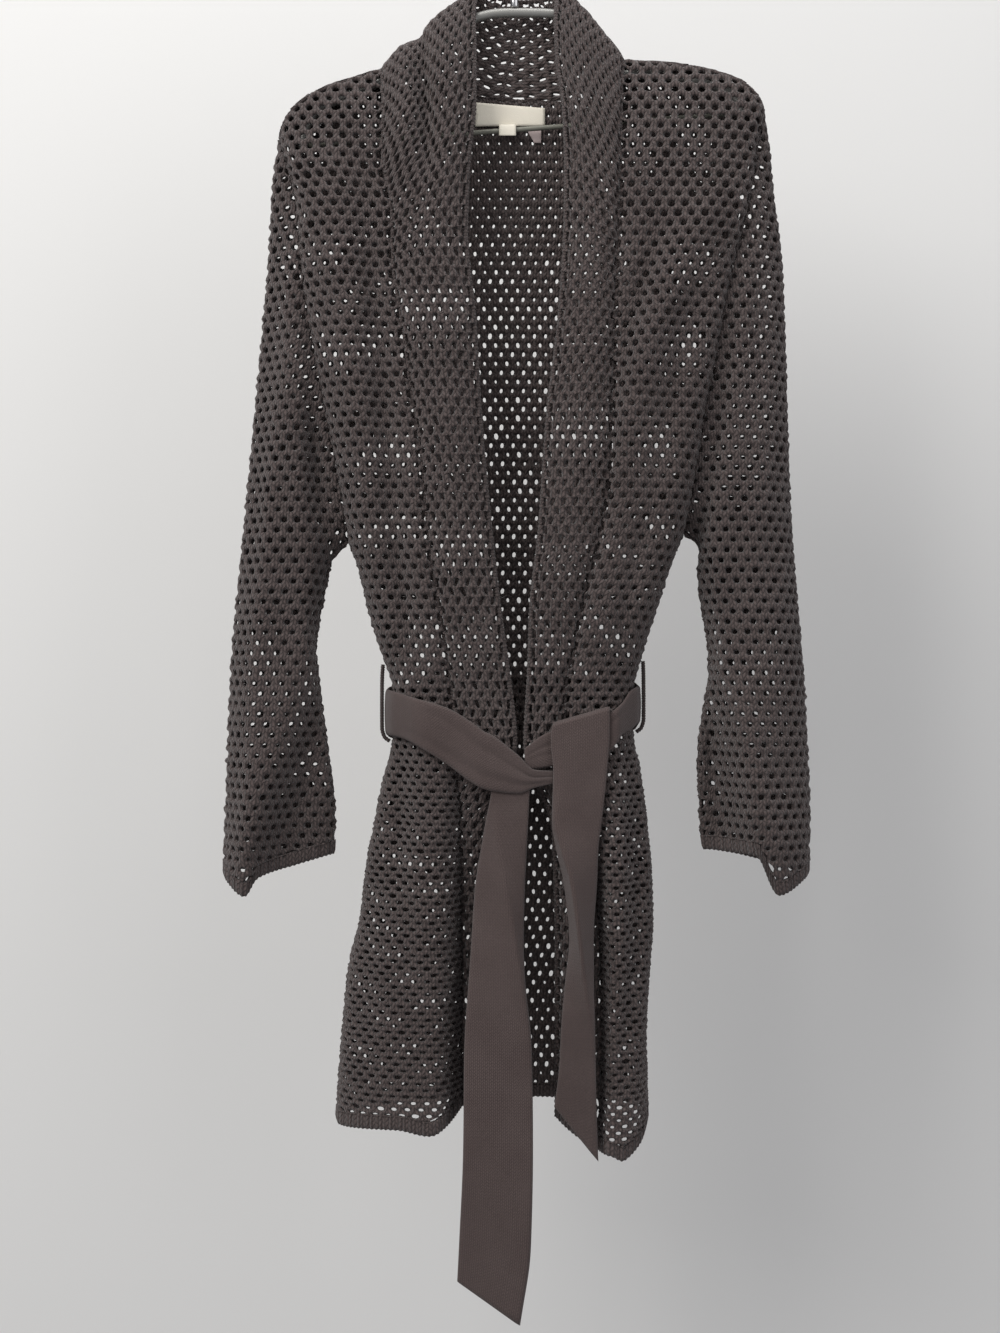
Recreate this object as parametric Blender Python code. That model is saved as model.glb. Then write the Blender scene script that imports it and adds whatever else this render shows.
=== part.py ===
# Wrap cardigan in an open knit, tied with its own belt and hanging on a coat hanger.
# Sizes are in millimetres: across is to the right, drop is down from the inside of the hook,
# depth is towards the wall. Points are turned to metres with +Z up when a solid is made.
import math

import bpy
import numpy as np
from mathutils import Vector
from mathutils.bvhtree import BVHTree

mm = 0.001

# Walls and clearances
knitWall = 3.6        # open knit of a thick cotton yarn
beltWall = 2.2        # fine rib tape, pressed flat
labelWall = 0.8
seamGap = 0.6         # each seam opens by about this much
archDepth = 8.4       # half width of the cloth bent over the hanger
cornerEase = 5        # how much more a corner opens where panels turn away from each other
restGap = 0.5         # a piece that lies on another stays this far off it
hangerArm = 8.0       # diameter of the bent arms
hangerRod = 4.4       # diameter of the straight lower rod
hangerStem = 7.5      # diameter of the sleeve under the hook
hookWire = 5.0        # diameter of the hook
hookInside = 21.0     # inside radius of the hook
loopCord = 3.4        # diameter of the belt carriers

# Rows of the knit, as shares of the way from shoulder to armpit and from armpit to hem
shoulderRows = [0, 0.010, 0.028, 0.06, 0.115, 0.19, 0.28, 0.38, 0.49, 0.60, 0.71, 0.81, 0.91, 1]
skirtRows = [0.075, 0.15, 0.22, 0.275, 0.33, 0.39, 0.46, 0.54, 0.62, 0.70, 0.78, 0.86, 0.94, 1]
# Columns of a front, from the band to the side, and of the back neck and the band
frontColumns = [0, 0.11, 0.24, 0.40, 0.56, 0.71, 0.84, 0.94, 1]
neckColumns = [0.055, 1 / 6, 1 / 3, 1 / 2, 2 / 3, 5 / 6, 0.945]
bandColumns = [0, 0.16, 0.36, 0.56, 0.78, 1]
sleeveRings = 15

# Shoulder ridge over the hanger, from the collar to the tip: across, drop
shoulderRidge = {
    "left": [(-209, 186), (-201, 171), (-183, 154), (-157, 141), (-120, 126)],
    "right": [(92, 118), (143, 123), (178, 132), (200, 143), (215, 159)],
}
# Seam between a front and its band, from the shoulder to the hem: drop, across, depth
bandSeam = {
    "left": [(126, -120, 0), (134, -119, -8.8), (149, -118, -15), (178, -117, -25), (211, -117, -32),
             (253, -109, -38), (308, -107, -42), (364, -98, -46), (405, -93, -48),
             (458, -84, -50), (543, -76, -51), (611, -66, -50), (669, -57, -47),
             (730, -52, -44), (808, -50, -36), (894, -49, -30), (982, -50, -24), (1032, -49, -20)],
    "right": [(118, 92, 0), (126, 91.5, -8.8), (141, 90, -15), (169, 89, -25), (211, 87, -32),
              (266, 85, -38), (322, 82, -42), (378, 80, -46), (433, 79, -48),
              (487, 77, -50), (541, 68, -51), (589, 56, -50), (634, 47, -48),
              (669, 40, -46), (700, 39, -46), (756, 50, -44), (832, 66, -42),
              (917, 72, -40), (1001, 72, -42), (1062, 67, -46)],
}
# Free edge of the band: drop, across, depth
bandEdge = {
    "left": [(53, -35, 4), (76, -39, -8), (116, -38, -20), (162, -38, -30), (216, -43, -38),
             (278, -45, -44), (353, -38, -49), (437, -33, -52), (536, -24, -54), (599, -17, -54),
             (656, -9, -52), (718, -3, -50), (792, -24, -36), (897, -22, -22), (1030, -16, -6)],
    "right": [(51, 37, 4), (80, 33, -8), (124, 34, -20), (162, 39, -30), (216, 41, -38),
              (278, 40, -44), (353, 35, -49), (438, 25, -52), (537, 18, -54), (599, 11, -54),
              (656, 9, -52), (718, 6, -50), (791, 30, -40), (894, 33, -34), (1040, 33, -26)],
}
# Front face between seam and side: drop, depth
frontFace = {
    "left": [(126, 0), (149, -16), (178, -28), (211, -36), (308, -47), (458, -56),
             (611, -57), (690, -50), (760, -56), (860, -60), (1046, -62)],
    "right": [(118, 0), (141, -16), (169, -28), (211, -37), (322, -50), (487, -60),
              (589, -60), (680, -51), (760, -57), (860, -62), (1062, -66)],
}
# Seam between a front and its sleeve: drop, across, depth
armhole = {
    "left": [(186, -209, 0), (194, -206, -8), (212, -201, -12), (247, -192, -19), (319, -185, -26), (361, -178, -28),
             (416, -168, -30), (472, -157, -30), (512, -150, -26), (541, -147, -14)],
    "right": [(159, 215, 0), (168, 214, -8), (190, 209, -12), (234, 202, -19), (280, 191, -24), (319, 181, -27),
              (375, 171, -29), (421, 161, -30), (472, 153, -30), (510, 147, -26), (534, 143, -14)],
}
# The same seam behind: drop, depth
armholeBehind = {
    "left": [(186, 0), (190, 8), (206, 9.5), (232, 11), (400, 12), (480, 8), (541, -14)],
    "right": [(159, 0), (163, 8), (179, 9.5), (205, 11), (400, 12), (476, 8), (534, -14)],
}
# Side seam from the armpit to the hem: drop, across, depth
sideSeam = {
    "left": [(541, -147, -14), (562, -139, -13), (603, -129, -12), (636, -119, -12), (671, -108, -12),
             (714, -108, -12), (751, -117, -12), (786, -124, -12), (822, -131, -12), (872, -137, -12),
             (908, -146, -12), (988, -154, -12), (1045, -158, -12)],
    "right": [(534, 143, -14), (559, 133, -13), (587, 124, -12), (618, 114, -12), (646, 105, -12),
              (671, 99, -12), (710, 99, -12), (739, 105, -12), (786, 111, -12), (833, 115, -12),
              (872, 116, -12), (913, 113, -12), (968, 110, -12), (1014, 111, -12), (1038, 112, -12)],
}
# How far the hem of a front hangs below a straight line: share of the way to the side, drop
hemSag = {
    "left": [(0, 0), (0.12, 9), (0.22, 13), (0.5, 5), (1, 0)],
    "right": [(0, 0), (0.25, 8), (0.5, 18), (0.8, 14), (1, 0)],
}
# Back neck seam: across, drop, depth
# The collar's top edge over it: share of the way, across, drop, depth
neckSeam = [(-120, 126, 0), (-108, 134, 9), (-98, 138, 10.5), (-43, 146, 12.5), (2, 149, 14), (48, 151, 13),
            (72, 139, 10.5), (80, 133, 9.5), (92, 118, 0)]
collarTop = [(0, -35, 53, 4), (0.25, -21, 57, 12), (0.5, 1, 61, 15), (0.75, 22, 60, 13), (1, 37, 51, 4)]
# Back panel: drop, depth
backFace = [(118, 11), (220, 15), (400, 19), (560, 19), (640, 12), (690, 8), (740, 12), (860, 18), (1045, 22)]
backHem = 1034        # drop of the hem at the middle of the back

# Sleeves. Outer and inner edges: drop, across, depth. Hem in front and behind: share, across, drop, depth
sleeveOuter = {
    "left": [(186, -209, 0), (218, -214, 0), (284, -218, 0), (417, -229, -4), (529, -239, -8),
             (655, -250, -12), (809, -255, -18), (830, -256, -18)],
    "right": [(159, 215, 0), (196, 220, 0), (240, 224, 0), (284, 230, 0), (329, 232, -2),
              (505, 237, -8), (692, 250, -14), (785, 253, -18), (830, 252, -18)],
}
sleeveInner = {
    "left": [(541, -147, -14), (558, -163, -12), (585, -169, -10), (639, -178, -8), (655, -177, -8),
             (727, -167, -8), (782, -161, -8), (814, -162, -8)],
    "right": [(534, 143, -14), (547, 160, -12), (568, 158, -10), (636, 167, -8), (655, 168, -8),
              (730, 158, -8), (786, 160, -8), (810, 163, -8)],
}
cuffFront = {
    "left": [(0, -256, 830, -18), (0.12, -250, 836, -32), (0.3, -234, 847, -46), (0.42, -224, 832, -40),
             (0.66, -195, 823, -24), (0.88, -170, 816, -14), (1, -162, 814, -8)],
    "right": [(0, 252, 830, -18), (0.12, 246, 834, -32), (0.32, 222, 846, -48), (0.5, 203, 812, -44),
              (0.7, 186, 811, -28), (0.88, 171, 810, -14), (1, 163, 810, -8)],
}
cuffBehind = {
    "left": [(0, -256, 830, -18), (0.1, -252, 830, -4), (0.35, -228, 826, 6), (0.65, -195, 820, 8),
             (0.9, -168, 815, 2), (1, -162, 814, -8)],
    "right": [(0, 252, 830, -18), (0.1, 248, 830, -4), (0.35, 226, 824, 6), (0.65, 195, 816, 8),
              (0.9, 168, 811, 2), (1, 163, 810, -8)],
}
sleeveFullness = {"front": 9, "behind": 6}

# Folds: a path of (across, drop) along each, its half width, and how far it lifts, or sinks when below 0
frontFolds = {
    "left": [
        {"path": [(-164, 240), (-150, 330), (-136, 430), (-124, 560)], "width": 17, "lift": 6},
        {"path": [(-136, 190), (-128, 260), (-118, 400), (-104, 560), (-88, 640)],
         "width": 13, "lift": -13},
        {"path": [(-101, 712), (-100, 760), (-104, 830)], "width": 9, "lift": -9},
        {"path": [(-76, 716), (-78, 800), (-84, 930)], "width": 13, "lift": 5},
        {"path": [(-124, 800), (-130, 900), (-134, 1000)], "width": 11, "lift": -4},
        {"path": [(-94, 640), (-98, 590), (-108, 530)], "width": 7, "lift": -4},
    ],
    "right": [
        {"path": [(170, 240), (128, 325), (100, 400), (80, 480)], "width": 15, "lift": 9},
        {"path": [(120, 272), (96, 360), (84, 430), (78, 470)], "width": 9, "lift": -8},
        {"path": [(150, 330), (128, 430), (104, 560)], "width": 10, "lift": -5},
        {"path": [(96, 722), (101, 800), (98, 900), (86, 1010)], "width": 8, "lift": -9},
        {"path": [(80, 720), (84, 820), (86, 900)], "width": 9, "lift": 5},
        {"path": [(84, 640), (92, 590), (104, 530)], "width": 7, "lift": -4},
    ],
}
backFolds = [
    {"path": [(-150, 190), (-120, 330), (-70, 520), (-58, 640)], "width": 20, "lift": 5},
    {"path": [(150, 180), (124, 330), (84, 520), (60, 640)], "width": 18, "lift": 6},
    {"path": [(-86, 560), (-74, 670), (-80, 800)], "width": 9, "lift": -5},
    {"path": [(-34, 600), (-30, 690), (-40, 860)], "width": 10, "lift": -6},
    {"path": [(22, 590), (20, 690), (30, 880)], "width": 10, "lift": -5},
    {"path": [(74, 560), (66, 680), (74, 820)], "width": 9, "lift": -6},
    {"path": [(-8, 720), (-6, 860), (-14, 1034)], "width": 18, "lift": 6},
    {"path": [(-104, 760), (-108, 880), (-112, 1036)], "width": 14, "lift": 5},
]
sleeveFolds = {
    "left": [
        {"path": [(-186, 330), (-189, 400), (-188, 480), (-184, 540), (-181, 600), (-180, 655)],
         "width": 15, "lift": 11},
        {"path": [(-186, 640), (-204, 715), (-228, 790), (-240, 826)], "width": 17, "lift": 14},
        {"path": [(-170, 655), (-180, 715), (-200, 790), (-208, 822)], "width": 13, "lift": -9},
        {"path": [(-176, 372), (-177, 430), (-176, 480), (-170, 528)], "width": 9, "lift": -15},
        {"path": [(-236, 420), (-228, 520), (-214, 620)], "width": 12, "lift": -4},
    ],
    "right": [
        {"path": [(194, 300), (184, 360), (179, 420), (176, 480), (173, 560), (172, 640)],
         "width": 15, "lift": 11},
        {"path": [(176, 640), (192, 715), (206, 783), (216, 812)], "width": 17, "lift": 14},
        {"path": [(162, 655), (170, 715), (178, 783), (184, 806)], "width": 12, "lift": -14},
        {"path": [(184, 345), (176, 400), (171, 450), (168, 490)], "width": 9, "lift": -12},
        {"path": [(228, 420), (222, 520), (208, 620)], "width": 12, "lift": -4},
    ],
}
sleeveFoldsBehind = {
    "left": [{"path": [(-200, 300), (-196, 440), (-206, 640)], "width": 12, "lift": -5},
             {"path": [(-224, 400), (-226, 560), (-214, 780)], "width": 14, "lift": 5}],
    "right": [{"path": [(200, 290), (196, 440), (200, 640)], "width": 12, "lift": -5},
              {"path": [(222, 400), (226, 560), (214, 780)], "width": 14, "lift": 5}],
}
bandFolds = {
    "left": [{"path": [(-88, 86), (-84, 112), (-80, 161), (-78, 225)], "width": 8, "lift": -13},
             {"path": [(-104, 112), (-102, 160), (-98, 240)], "width": 13, "lift": 4},
             {"path": [(-62, 78), (-60, 140), (-60, 230)], "width": 12, "lift": 3},
             {"path": [(-66, 260), (-60, 420), (-46, 600)], "width": 14, "lift": 2}],
    "right": [{"path": [(66, 100), (64, 150), (62, 220)], "width": 12, "lift": -3},
              {"path": [(60, 260), (52, 420), (38, 590)], "width": 14, "lift": 2}],
}
# Height of the rounded band over the line from its seam to its edge: drop, crown
bandCrown = [(51, 2), (118, 5), (211, 9), (458, 9), (600, 7), (680, 4), (760, 6), (900, 6), (1062, 6)]
neckCrown = 3

# Belt strips over the front: across, drop of the upper edge, drop of the lower edge, belt layers under it
beltLeft = [(-112, 671, 710, 0), (-104, 673, 711, 0), (-94, 676, 714, 0), (-79, 680, 722, 0), (-60, 686, 734, 0),
            (-41, 697, 748, 0.5), (-30, 705, 754, 1), (-22, 709, 756, 1), (-1, 725, 758, 1), (14, 738, 753, 1),
            (33, 739, 749, 1)]
beltRight = [(103, 668, 700, 0), (96, 672, 705, 0), (89, 681, 708, 0), (77, 690, 722, 0), (62, 698, 728, 0),
             (46, 702, 732, 0), (24, 707, 736, 0), (5, 720, 738, 0)]
# The belt round the back: share of the way from left to right, drop of the upper and of the lower edge
beltBehind = [(0, 671, 710), (0.2, 664, 719), (0.5, 661, 718), (0.8, 660, 716), (1, 668, 700)]
beltLayer = 3.4       # from one layer of the belt to the next
# Hanging ends: drop of the left edge and how much lower the right edge is, then across and depth in front
# of the belt for the left edge, the lengthwise fold and the right edge
tailLeft = [
    (744, 0, -22, 0, -14, 0, 10, 0),
    (762, 0, -24, 1, -19, 1, 9, 1),
    (782, 0, -28, 1, -19, 6, 8, 2),
    (800, 0, -31, 1, -17, 8, 7, 3),
    (839, 0, -37, 1, -11, 11, 5, 3),
    (884, 0, -40, 2, -3, 12, 4, 4),
    (912, 0, -42, 3, 1, 11, 5, 7),
    (976, 0, -46, 5, 9, 8, 11, 8),
    (1060, 0, -47, 4, 10, 6, 12, 6),
    (1130, 14, -50, 2, 8, 5, 10, 4),
    (1170, 37, -52, 2, -2, 4, 1, 3),
]
tailRight = [
    (699, -14, 29, 1.2, 35, 1.0, 77, 0.6),
    (702, -14, 28, 6.2, 34, 6.2, 77, 3.6),
    (712, -10, 27, 6.6, 34, 6.6, 77, 4.0),
    (739, -4, 29, 6.6, 37, 7.8, 75, 4.2),
    (781, 0, 28, 6.5, 31, 11, 70, 5),
    (806, 0, 32, 2, 37, 15, 67, 5),
    (832, 0, 38, 0, 44, 19, 66, 3),
    (881, 0, 43, 0, 51, 20, 63, 3),
    (920, 0, 39, 2, 56, 14, 63, 7),
    (953, 0, 36, 4, 60, 10, 64, 8),
    (990, 16, 34, 4, 62, 8, 65, 7),
    (1022, 46, 30, 4, 62, 6, 67, 5),
]
tailColumns = 6
tailFree = (760, 830)  # drops between which a hanging end leaves the plan of the tight belt
planStep = 0.4
# Drops between which the cloth is measured for the plan of the belt
planSides = (664, 719)
planBack = (656, 724)
planFront = {"drops": (664, 762), "left": -90, "right": 84}
beltCrown = 0.8
behindSteps = 43
beltColumns = 4
# Belt carriers: drop of the upper and lower end on each side
carrierEnds = {"left": (649, 716), "right": (646, 708)}
sideDepth = -12
carrierSlack = 1.3    # how far a carrier stands off the belt, more than restGap

# Hanger arms beyond the collar follow the shoulder ridge, this far under it
armUnder = 10.4
armMiddle = [(-108, 136), (-90, 125), (-69, 107), (-50, 89.5), (-34, 79), (-18, 76), (-4, 75.5), (20, 75.8),
             (39, 77.5), (52, 87), (61, 101), (70, 116), (80, 127.5), (88, 130.5)]
armTips = {"left": [(-185, 173), (-188.5, 183), (-189, 196.5)],
           "right": [(191, 151.5), (196, 160), (196.5, 169)]}
rodEnds = ((-184.1, 191.8), (191.6, 164.3))
rodDepth = 0
stemAcross = -3
stemDrop = (71.1, 47)

# Neck label and its two small tabs: across and drop of the corners
neckLabel = {"left": -38, "right": 24, "top": (151.5, 156.5), "bottom": (172.6, 172.2)}
sizeTab = {"left": -16.7, "right": -1.8,
           "path": [(173.0, 9.4), (173.6, 4), (174.3, -1.4), (175.6, -3.4), (179.5, -3.9), (184.6, -3.6)]}
careTab = {"top": (6.5, 21.0), "bottom": (14.5, 20.6), "drops": (173.1, 187.2)}
labelLift = 1.15      # from the inner face of the back to the middle of a label

knitColour = (0.075, 0.061, 0.058)
beltColour = (0.098, 0.078, 0.071)
labelColour = (0.71, 0.66, 0.55)
metalColour = (0.42, 0.43, 0.44)


def clearScene():
    for item in list(bpy.data.objects):
        bpy.data.objects.remove(item)


def makeMaterial(name, colour, roughness, metallic):
    material = bpy.data.materials.new(name)
    material.use_nodes = True
    shader = material.node_tree.nodes["Principled BSDF"]
    shader.inputs["Base Color"].default_value = (*colour, 1)
    shader.inputs["Roughness"].default_value = roughness
    shader.inputs["Metallic"].default_value = metallic
    return material


def alongTable(rows, at):
    """The other columns of a table at values of its first, by a cubic that never overshoots."""
    rows = np.array(rows, float)
    rows = rows[np.argsort(rows[:, 0])]
    keys = rows[:, 0]
    values = rows[:, 1:]
    at = np.clip(np.asarray(at, float), keys[0], keys[-1])
    steps = np.diff(keys)[:, None]
    slopes = np.diff(values, axis=0) / steps
    before = slopes[:-1]
    after = slopes[1:]
    same = before * after > 0
    total = np.where(same, before + after, 1)
    middle = np.where(same, 2 * before * after / total, 0)
    tangents = np.vstack([slopes[:1], middle, slopes[-1:]])
    k = np.clip(np.searchsorted(keys, at, side="right") - 1, 0, len(keys) - 2)
    h = steps[k]
    t = ((at - keys[k]) / h[..., 0])[..., None]
    low = values[k] * (2 * t**3 - 3 * t**2 + 1) + tangents[k] * h * (t**3 - 2 * t**2 + t)
    high = values[k + 1] * (3 * t**2 - 2 * t**3) + tangents[k + 1] * h * (t**3 - t**2)
    return low + high


def mix(a, b, share):
    return a + (b - a) * share


def ramp(value, low, high):
    t = np.clip((np.asarray(value, float) - low) / (high - low), 0, 1)
    return t * t * (3 - 2 * t)


def foldLift(points, folds):
    """How far each point moves out, by its distance from every fold's path."""
    total = np.zeros(points.shape[:-1])
    place = points[..., :2]
    for fold in folds:
        path = np.array(fold["path"], float)
        lengths = np.linalg.norm(np.diff(path, axis=0), axis=1)
        starts = np.concatenate([[0], np.cumsum(lengths)])
        best = np.full(total.shape, 1e9)
        along = np.zeros(total.shape)
        for k, length in enumerate(lengths):
            way = (path[k + 1] - path[k]) / length
            offset = place - path[k]
            s = np.clip(offset @ way, 0, length)
            distance = np.linalg.norm(offset - s[..., None] * way, axis=-1)
            closer = distance < best
            best = np.where(closer, distance, best)
            along = np.where(closer, (starts[k] + s) / starts[-1], along)
        taper = np.sin(np.pi * np.clip(0.06 + 0.88 * along, 0, 1)) ** 0.6
        total += fold["lift"] * taper * np.exp(-((best / fold["width"]) ** 2))
    return total


def rowShares():
    upper = np.array(shoulderRows, float)
    lower = np.array(skirtRows, float)
    return upper, lower


def downCurve(top, armpit, hem, table):
    """Points (across, drop, depth) of a curve at each row, from shoulder to armpit to hem."""
    upper, lower = rowShares()
    drops = np.concatenate([mix(top, armpit, upper), mix(armpit, hem, lower)])
    found = alongTable(table, drops)
    return np.stack([found[:, 0], drops, found[:, 1]], axis=1)


def armpitDrop(side):
    return sideSeam[side][0][0]


def seamLine(side):
    table = bandSeam[side]
    return downCurve(table[0][0], armpitDrop(side), table[-1][0], table)


def sideLine(side):
    upper, lower = rowShares()
    top = armhole[side][0][0]
    armDrops = mix(top, armpitDrop(side), upper)
    hemDrops = mix(armpitDrop(side), sideSeam[side][-1][0], lower)
    arm = alongTable(armhole[side], armDrops)
    skirt = alongTable(sideSeam[side], hemDrops)
    drops = np.concatenate([armDrops, hemDrops])
    found = np.concatenate([arm, skirt])
    return np.stack([found[:, 0], drops, found[:, 1]], axis=1)


def ridgeDrop(side, across):
    return alongTable(shoulderRidge[side], across)[..., 0]


def armArch(below):
    """How far the cloth stands off its ridge line where it bends over the arms of the hanger."""
    return archDepth * np.sqrt(1 - (1 - np.clip(below / archDepth, 0, 1)) ** 2)


def frontGrid(side):
    """A front from the band seam to the side, a row for each level."""
    seam = seamLine(side)[:, None, :]
    edge = sideLine(side)[:, None, :]
    u = np.array(frontColumns, float)[None, :]
    across = mix(seam[..., 0], edge[..., 0], u)
    drop = mix(seam[..., 1], edge[..., 1], u)
    upper, lower = rowShares()
    level = np.concatenate([upper, 1 + lower])[:, None]
    arch = ridgeDrop(side, across[:1]) - drop[:1]
    drop = drop + arch * np.clip(1 - level * 2.2, 0, 1) ** 2
    sag = alongTable(hemSag[side], u[0])[:, 0]
    drop = drop + sag[None, :] * ramp(level, 1.6, 2)
    face = alongTable(frontFace[side], drop)[..., 0]
    turn = 1 - (1 - u**2.6) ** (1 / 2.6)
    lipWidth = mix(0.20, 0.24, ramp(level, 1, 1.5))
    lip = (1 - np.clip(u / lipWidth, 0, 1)) ** 2
    depth = face + (edge[..., 2] - face) * turn + (seam[..., 2] - face) * lip * (1 - turn)
    inner = ramp(1 - u, 0, 0.12)
    depth = np.minimum(depth, -armArch(drop - drop[:1]) * inner)
    points = np.stack([across, drop, depth], axis=-1)
    free = ramp(u, 0, 0.12) * ramp(1 - u, 0, 0.14) * ramp(level, 0, 0.12)
    points[..., 2] -= foldLift(points, frontFolds[side]) * free
    points[:, 0] = seam[:, 0]
    points[:, -1] = edge[:, 0]
    return points


def backGrid():
    """The back from the left side to the right side, hanging from the shoulder ridges and the neck."""
    left = sideLine("left")
    right = sideLine("right")
    upper, lower = rowShares()
    split = len(upper)
    for side, line in (("left", left), ("right", right)):
        line[:split, 2] = alongTable(armholeBehind[side], line[:split, 1])[:, 0]
    ridgeLeft = frontGrid("left")[0][::-1]
    ridgeRight = frontGrid("right")[0]
    neckAcross = mix(neckSeam[0][0], neckSeam[-1][0], np.array(neckColumns, float))
    neck = alongTable(neckSeam, neckAcross)
    neck = np.stack([neckAcross, neck[:, 0], neck[:, 1]], axis=1)
    top = np.concatenate([ridgeLeft, neck, ridgeRight])
    share = (top[:, 0] - top[0, 0]) / (top[-1, 0] - top[0, 0])
    f = share[None, :]
    level = np.concatenate([upper, 1 + lower])[:, None]
    across = mix(left[:, None, 0], right[:, None, 0], f)
    drop = mix(left[:, None, 1], right[:, None, 1], f)
    arch = top[None, :, 1] - drop[:1]
    drop = drop + arch * np.clip(1 - level * 1.4, 0, 1) ** 1.6
    middle = backHem - mix(left[-1, 1], right[-1, 1], 0.5)
    drop = drop + middle * np.sin(np.pi * f) * ramp(level, 1.5, 2)
    face = alongTable(backFace, drop)[..., 0]
    side = mix(left[:, None, 2], right[:, None, 2], f)
    bulge = (1 - np.abs(2 * f - 1) ** 4.5) ** (1 / 4.5)
    depth = side + (face - side) * bulge
    below = drop - top[None, :, 1]
    settle = 1 - (1 - np.clip(below / 26, 0, 1)) ** 2.4
    depth = mix(top[None, :, 2], depth, settle)
    depth = np.maximum(depth, armArch(below) * ramp(np.abs(2 * f - 1), 1, 0.94))
    points = np.stack([across, drop, depth], axis=-1)
    free = ramp(f, 0, 0.07) * ramp(1 - f, 0, 0.07) * ramp(level, 0.02, 0.2)
    points[..., 2] += foldLift(points, backFolds) * free
    points[0] = top
    points[:, 0] = left
    points[:, -1] = right
    return points


def sleeveGrid(side):
    """A sleeve: each ring runs from the outer edge down the front, under, and up behind."""
    upper, _ = rowShares()
    split = len(upper)
    front = sideLine(side)[:split]
    behind = front.copy()
    behind[:, 2] = alongTable(armholeBehind[side], behind[:, 1])[:, 0]
    s = np.linspace(0, 1, sleeveRings + 1)
    outerDrops = mix(sleeveOuter[side][0][0], sleeveOuter[side][-1][0], s)
    innerDrops = mix(sleeveInner[side][0][0], sleeveInner[side][-1][0], s)
    outer = alongTable(sleeveOuter[side], outerDrops)
    inner = alongTable(sleeveInner[side], innerDrops)
    outer = np.stack([outer[:, 0], outerDrops, outer[:, 1]], axis=1)
    inner = np.stack([inner[:, 0], innerDrops, inner[:, 1]], axis=1)
    a = mix(upper, (1 - np.cos(np.pi * upper)) / 2, 0.6)[None, :, None]
    way = s[:, None, None]
    halves = []
    kinds = (
        (front, cuffFront[side], -sleeveFullness["front"], sleeveFolds[side], -1),
        (behind, cuffBehind[side], sleeveFullness["behind"], sleeveFoldsBehind[side], 1),
    )
    for hole, cuffTable, fullness, folds, out in kinds:
        cuff = alongTable(cuffTable, a[0, :, 0])
        points = mix(hole[None], cuff[None], way)
        points = points + (outer[:, None] - mix(outer[:1, None], outer[-1:, None], way)) * (1 - a)
        points = points + (inner[:, None] - mix(inner[:1, None], inner[-1:, None], way)) * a
        share = a[..., 0]
        swell = (4 * share * (1 - share)) ** 0.6 * np.sin(np.pi * way[..., 0] ** 0.8)
        points[..., 2] += fullness * swell
        free = ramp(share, 0, 0.12) * ramp(1 - share, 0, 0.1) * ramp(way[..., 0], 0, 0.08)
        points[..., 2] += out * foldLift(points, folds) * free
        halves.append(points)
    return np.concatenate([halves[0], halves[1][:, -2:0:-1]], axis=1)


def bandGrid(side):
    """Half of the shawl band: from the hem up the front, then round the neck to the middle of the back."""
    seam = seamLine(side)
    ends = bandEdge[side]
    lift = ends[0][0] - seam[0, 1]
    hemShift = ends[-1][0] - seam[-1, 1]
    fade = 1 - ramp(seam[:, 1], seam[0, 1], 330)
    edgeDrops = seam[:, 1] + lift * fade + hemShift * ramp(seam[:, 1], 800, seam[-1, 1])
    edge = alongTable(ends, edgeDrops)
    edge = np.stack([edge[:, 0], edgeDrops, edge[:, 1]], axis=1)
    crown = alongTable(bandCrown, seam[:, 1])[:, 0]
    neckShare = np.array(neckColumns, float)
    keep = neckShare <= 0.5 if side == "left" else neckShare >= 0.5
    neckShare = neckShare[keep]
    if side == "right":
        neckShare = neckShare[::-1]
    neckAcross = mix(neckSeam[0][0], neckSeam[-1][0], neckShare)
    neck = alongTable(neckSeam, neckAcross)
    neck = np.stack([neckAcross, neck[:, 0], neck[:, 1]], axis=1)
    collar = alongTable(collarTop, neckShare)
    seam = np.concatenate([seam[::-1], neck])
    edge = np.concatenate([edge[::-1], collar])
    crown = np.concatenate([crown[::-1], np.full(len(neck), neckCrown)])
    t = np.array(bandColumns, float)[None, :, None]
    points = mix(seam[:, None], edge[:, None], t)
    along = np.gradient(seam + edge, axis=0)
    over = edge - seam
    out = np.cross(along, over)
    out /= np.linalg.norm(out, axis=1, keepdims=True)
    if side == "left":
        out = -out
    swell = np.sin(np.pi * t[..., 0] ** 0.85) ** 0.75
    count = len(seam) - len(neck)
    level = np.concatenate([np.linspace(1, 0, count), np.full(len(neck), 0)])[:, None]
    flat = 1 - ramp(np.concatenate([np.zeros(count), np.arange(1, len(neck) + 1)]), 0, 2)[:, None]
    free = ramp(t[..., 0], 0, 0.25) * flat * np.ones_like(level)
    move = crown[:, None] * swell + foldLift(points, bandFolds[side]) * free
    return points + out[:, None, :] * move[..., None]


def faceNormals(grid, closed):
    """Summed face directions at each point of a grid, and how many faces meet there."""
    rows, columns, _ = grid.shape
    total = np.zeros_like(grid)
    count = np.zeros((rows, columns))
    last = columns if closed else columns - 1
    for i in range(rows - 1):
        for j in range(last):
            k = (j + 1) % columns
            corners = [(i, j), (i + 1, j), (i + 1, k), (i, k)]
            a, b, c, d = (grid[corner] for corner in corners)
            direction = np.cross(c - a, d - b)
            direction /= np.linalg.norm(direction)
            for corner in corners:
                total[corner] += direction
                count[corner] += 1
    return total, count


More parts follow.
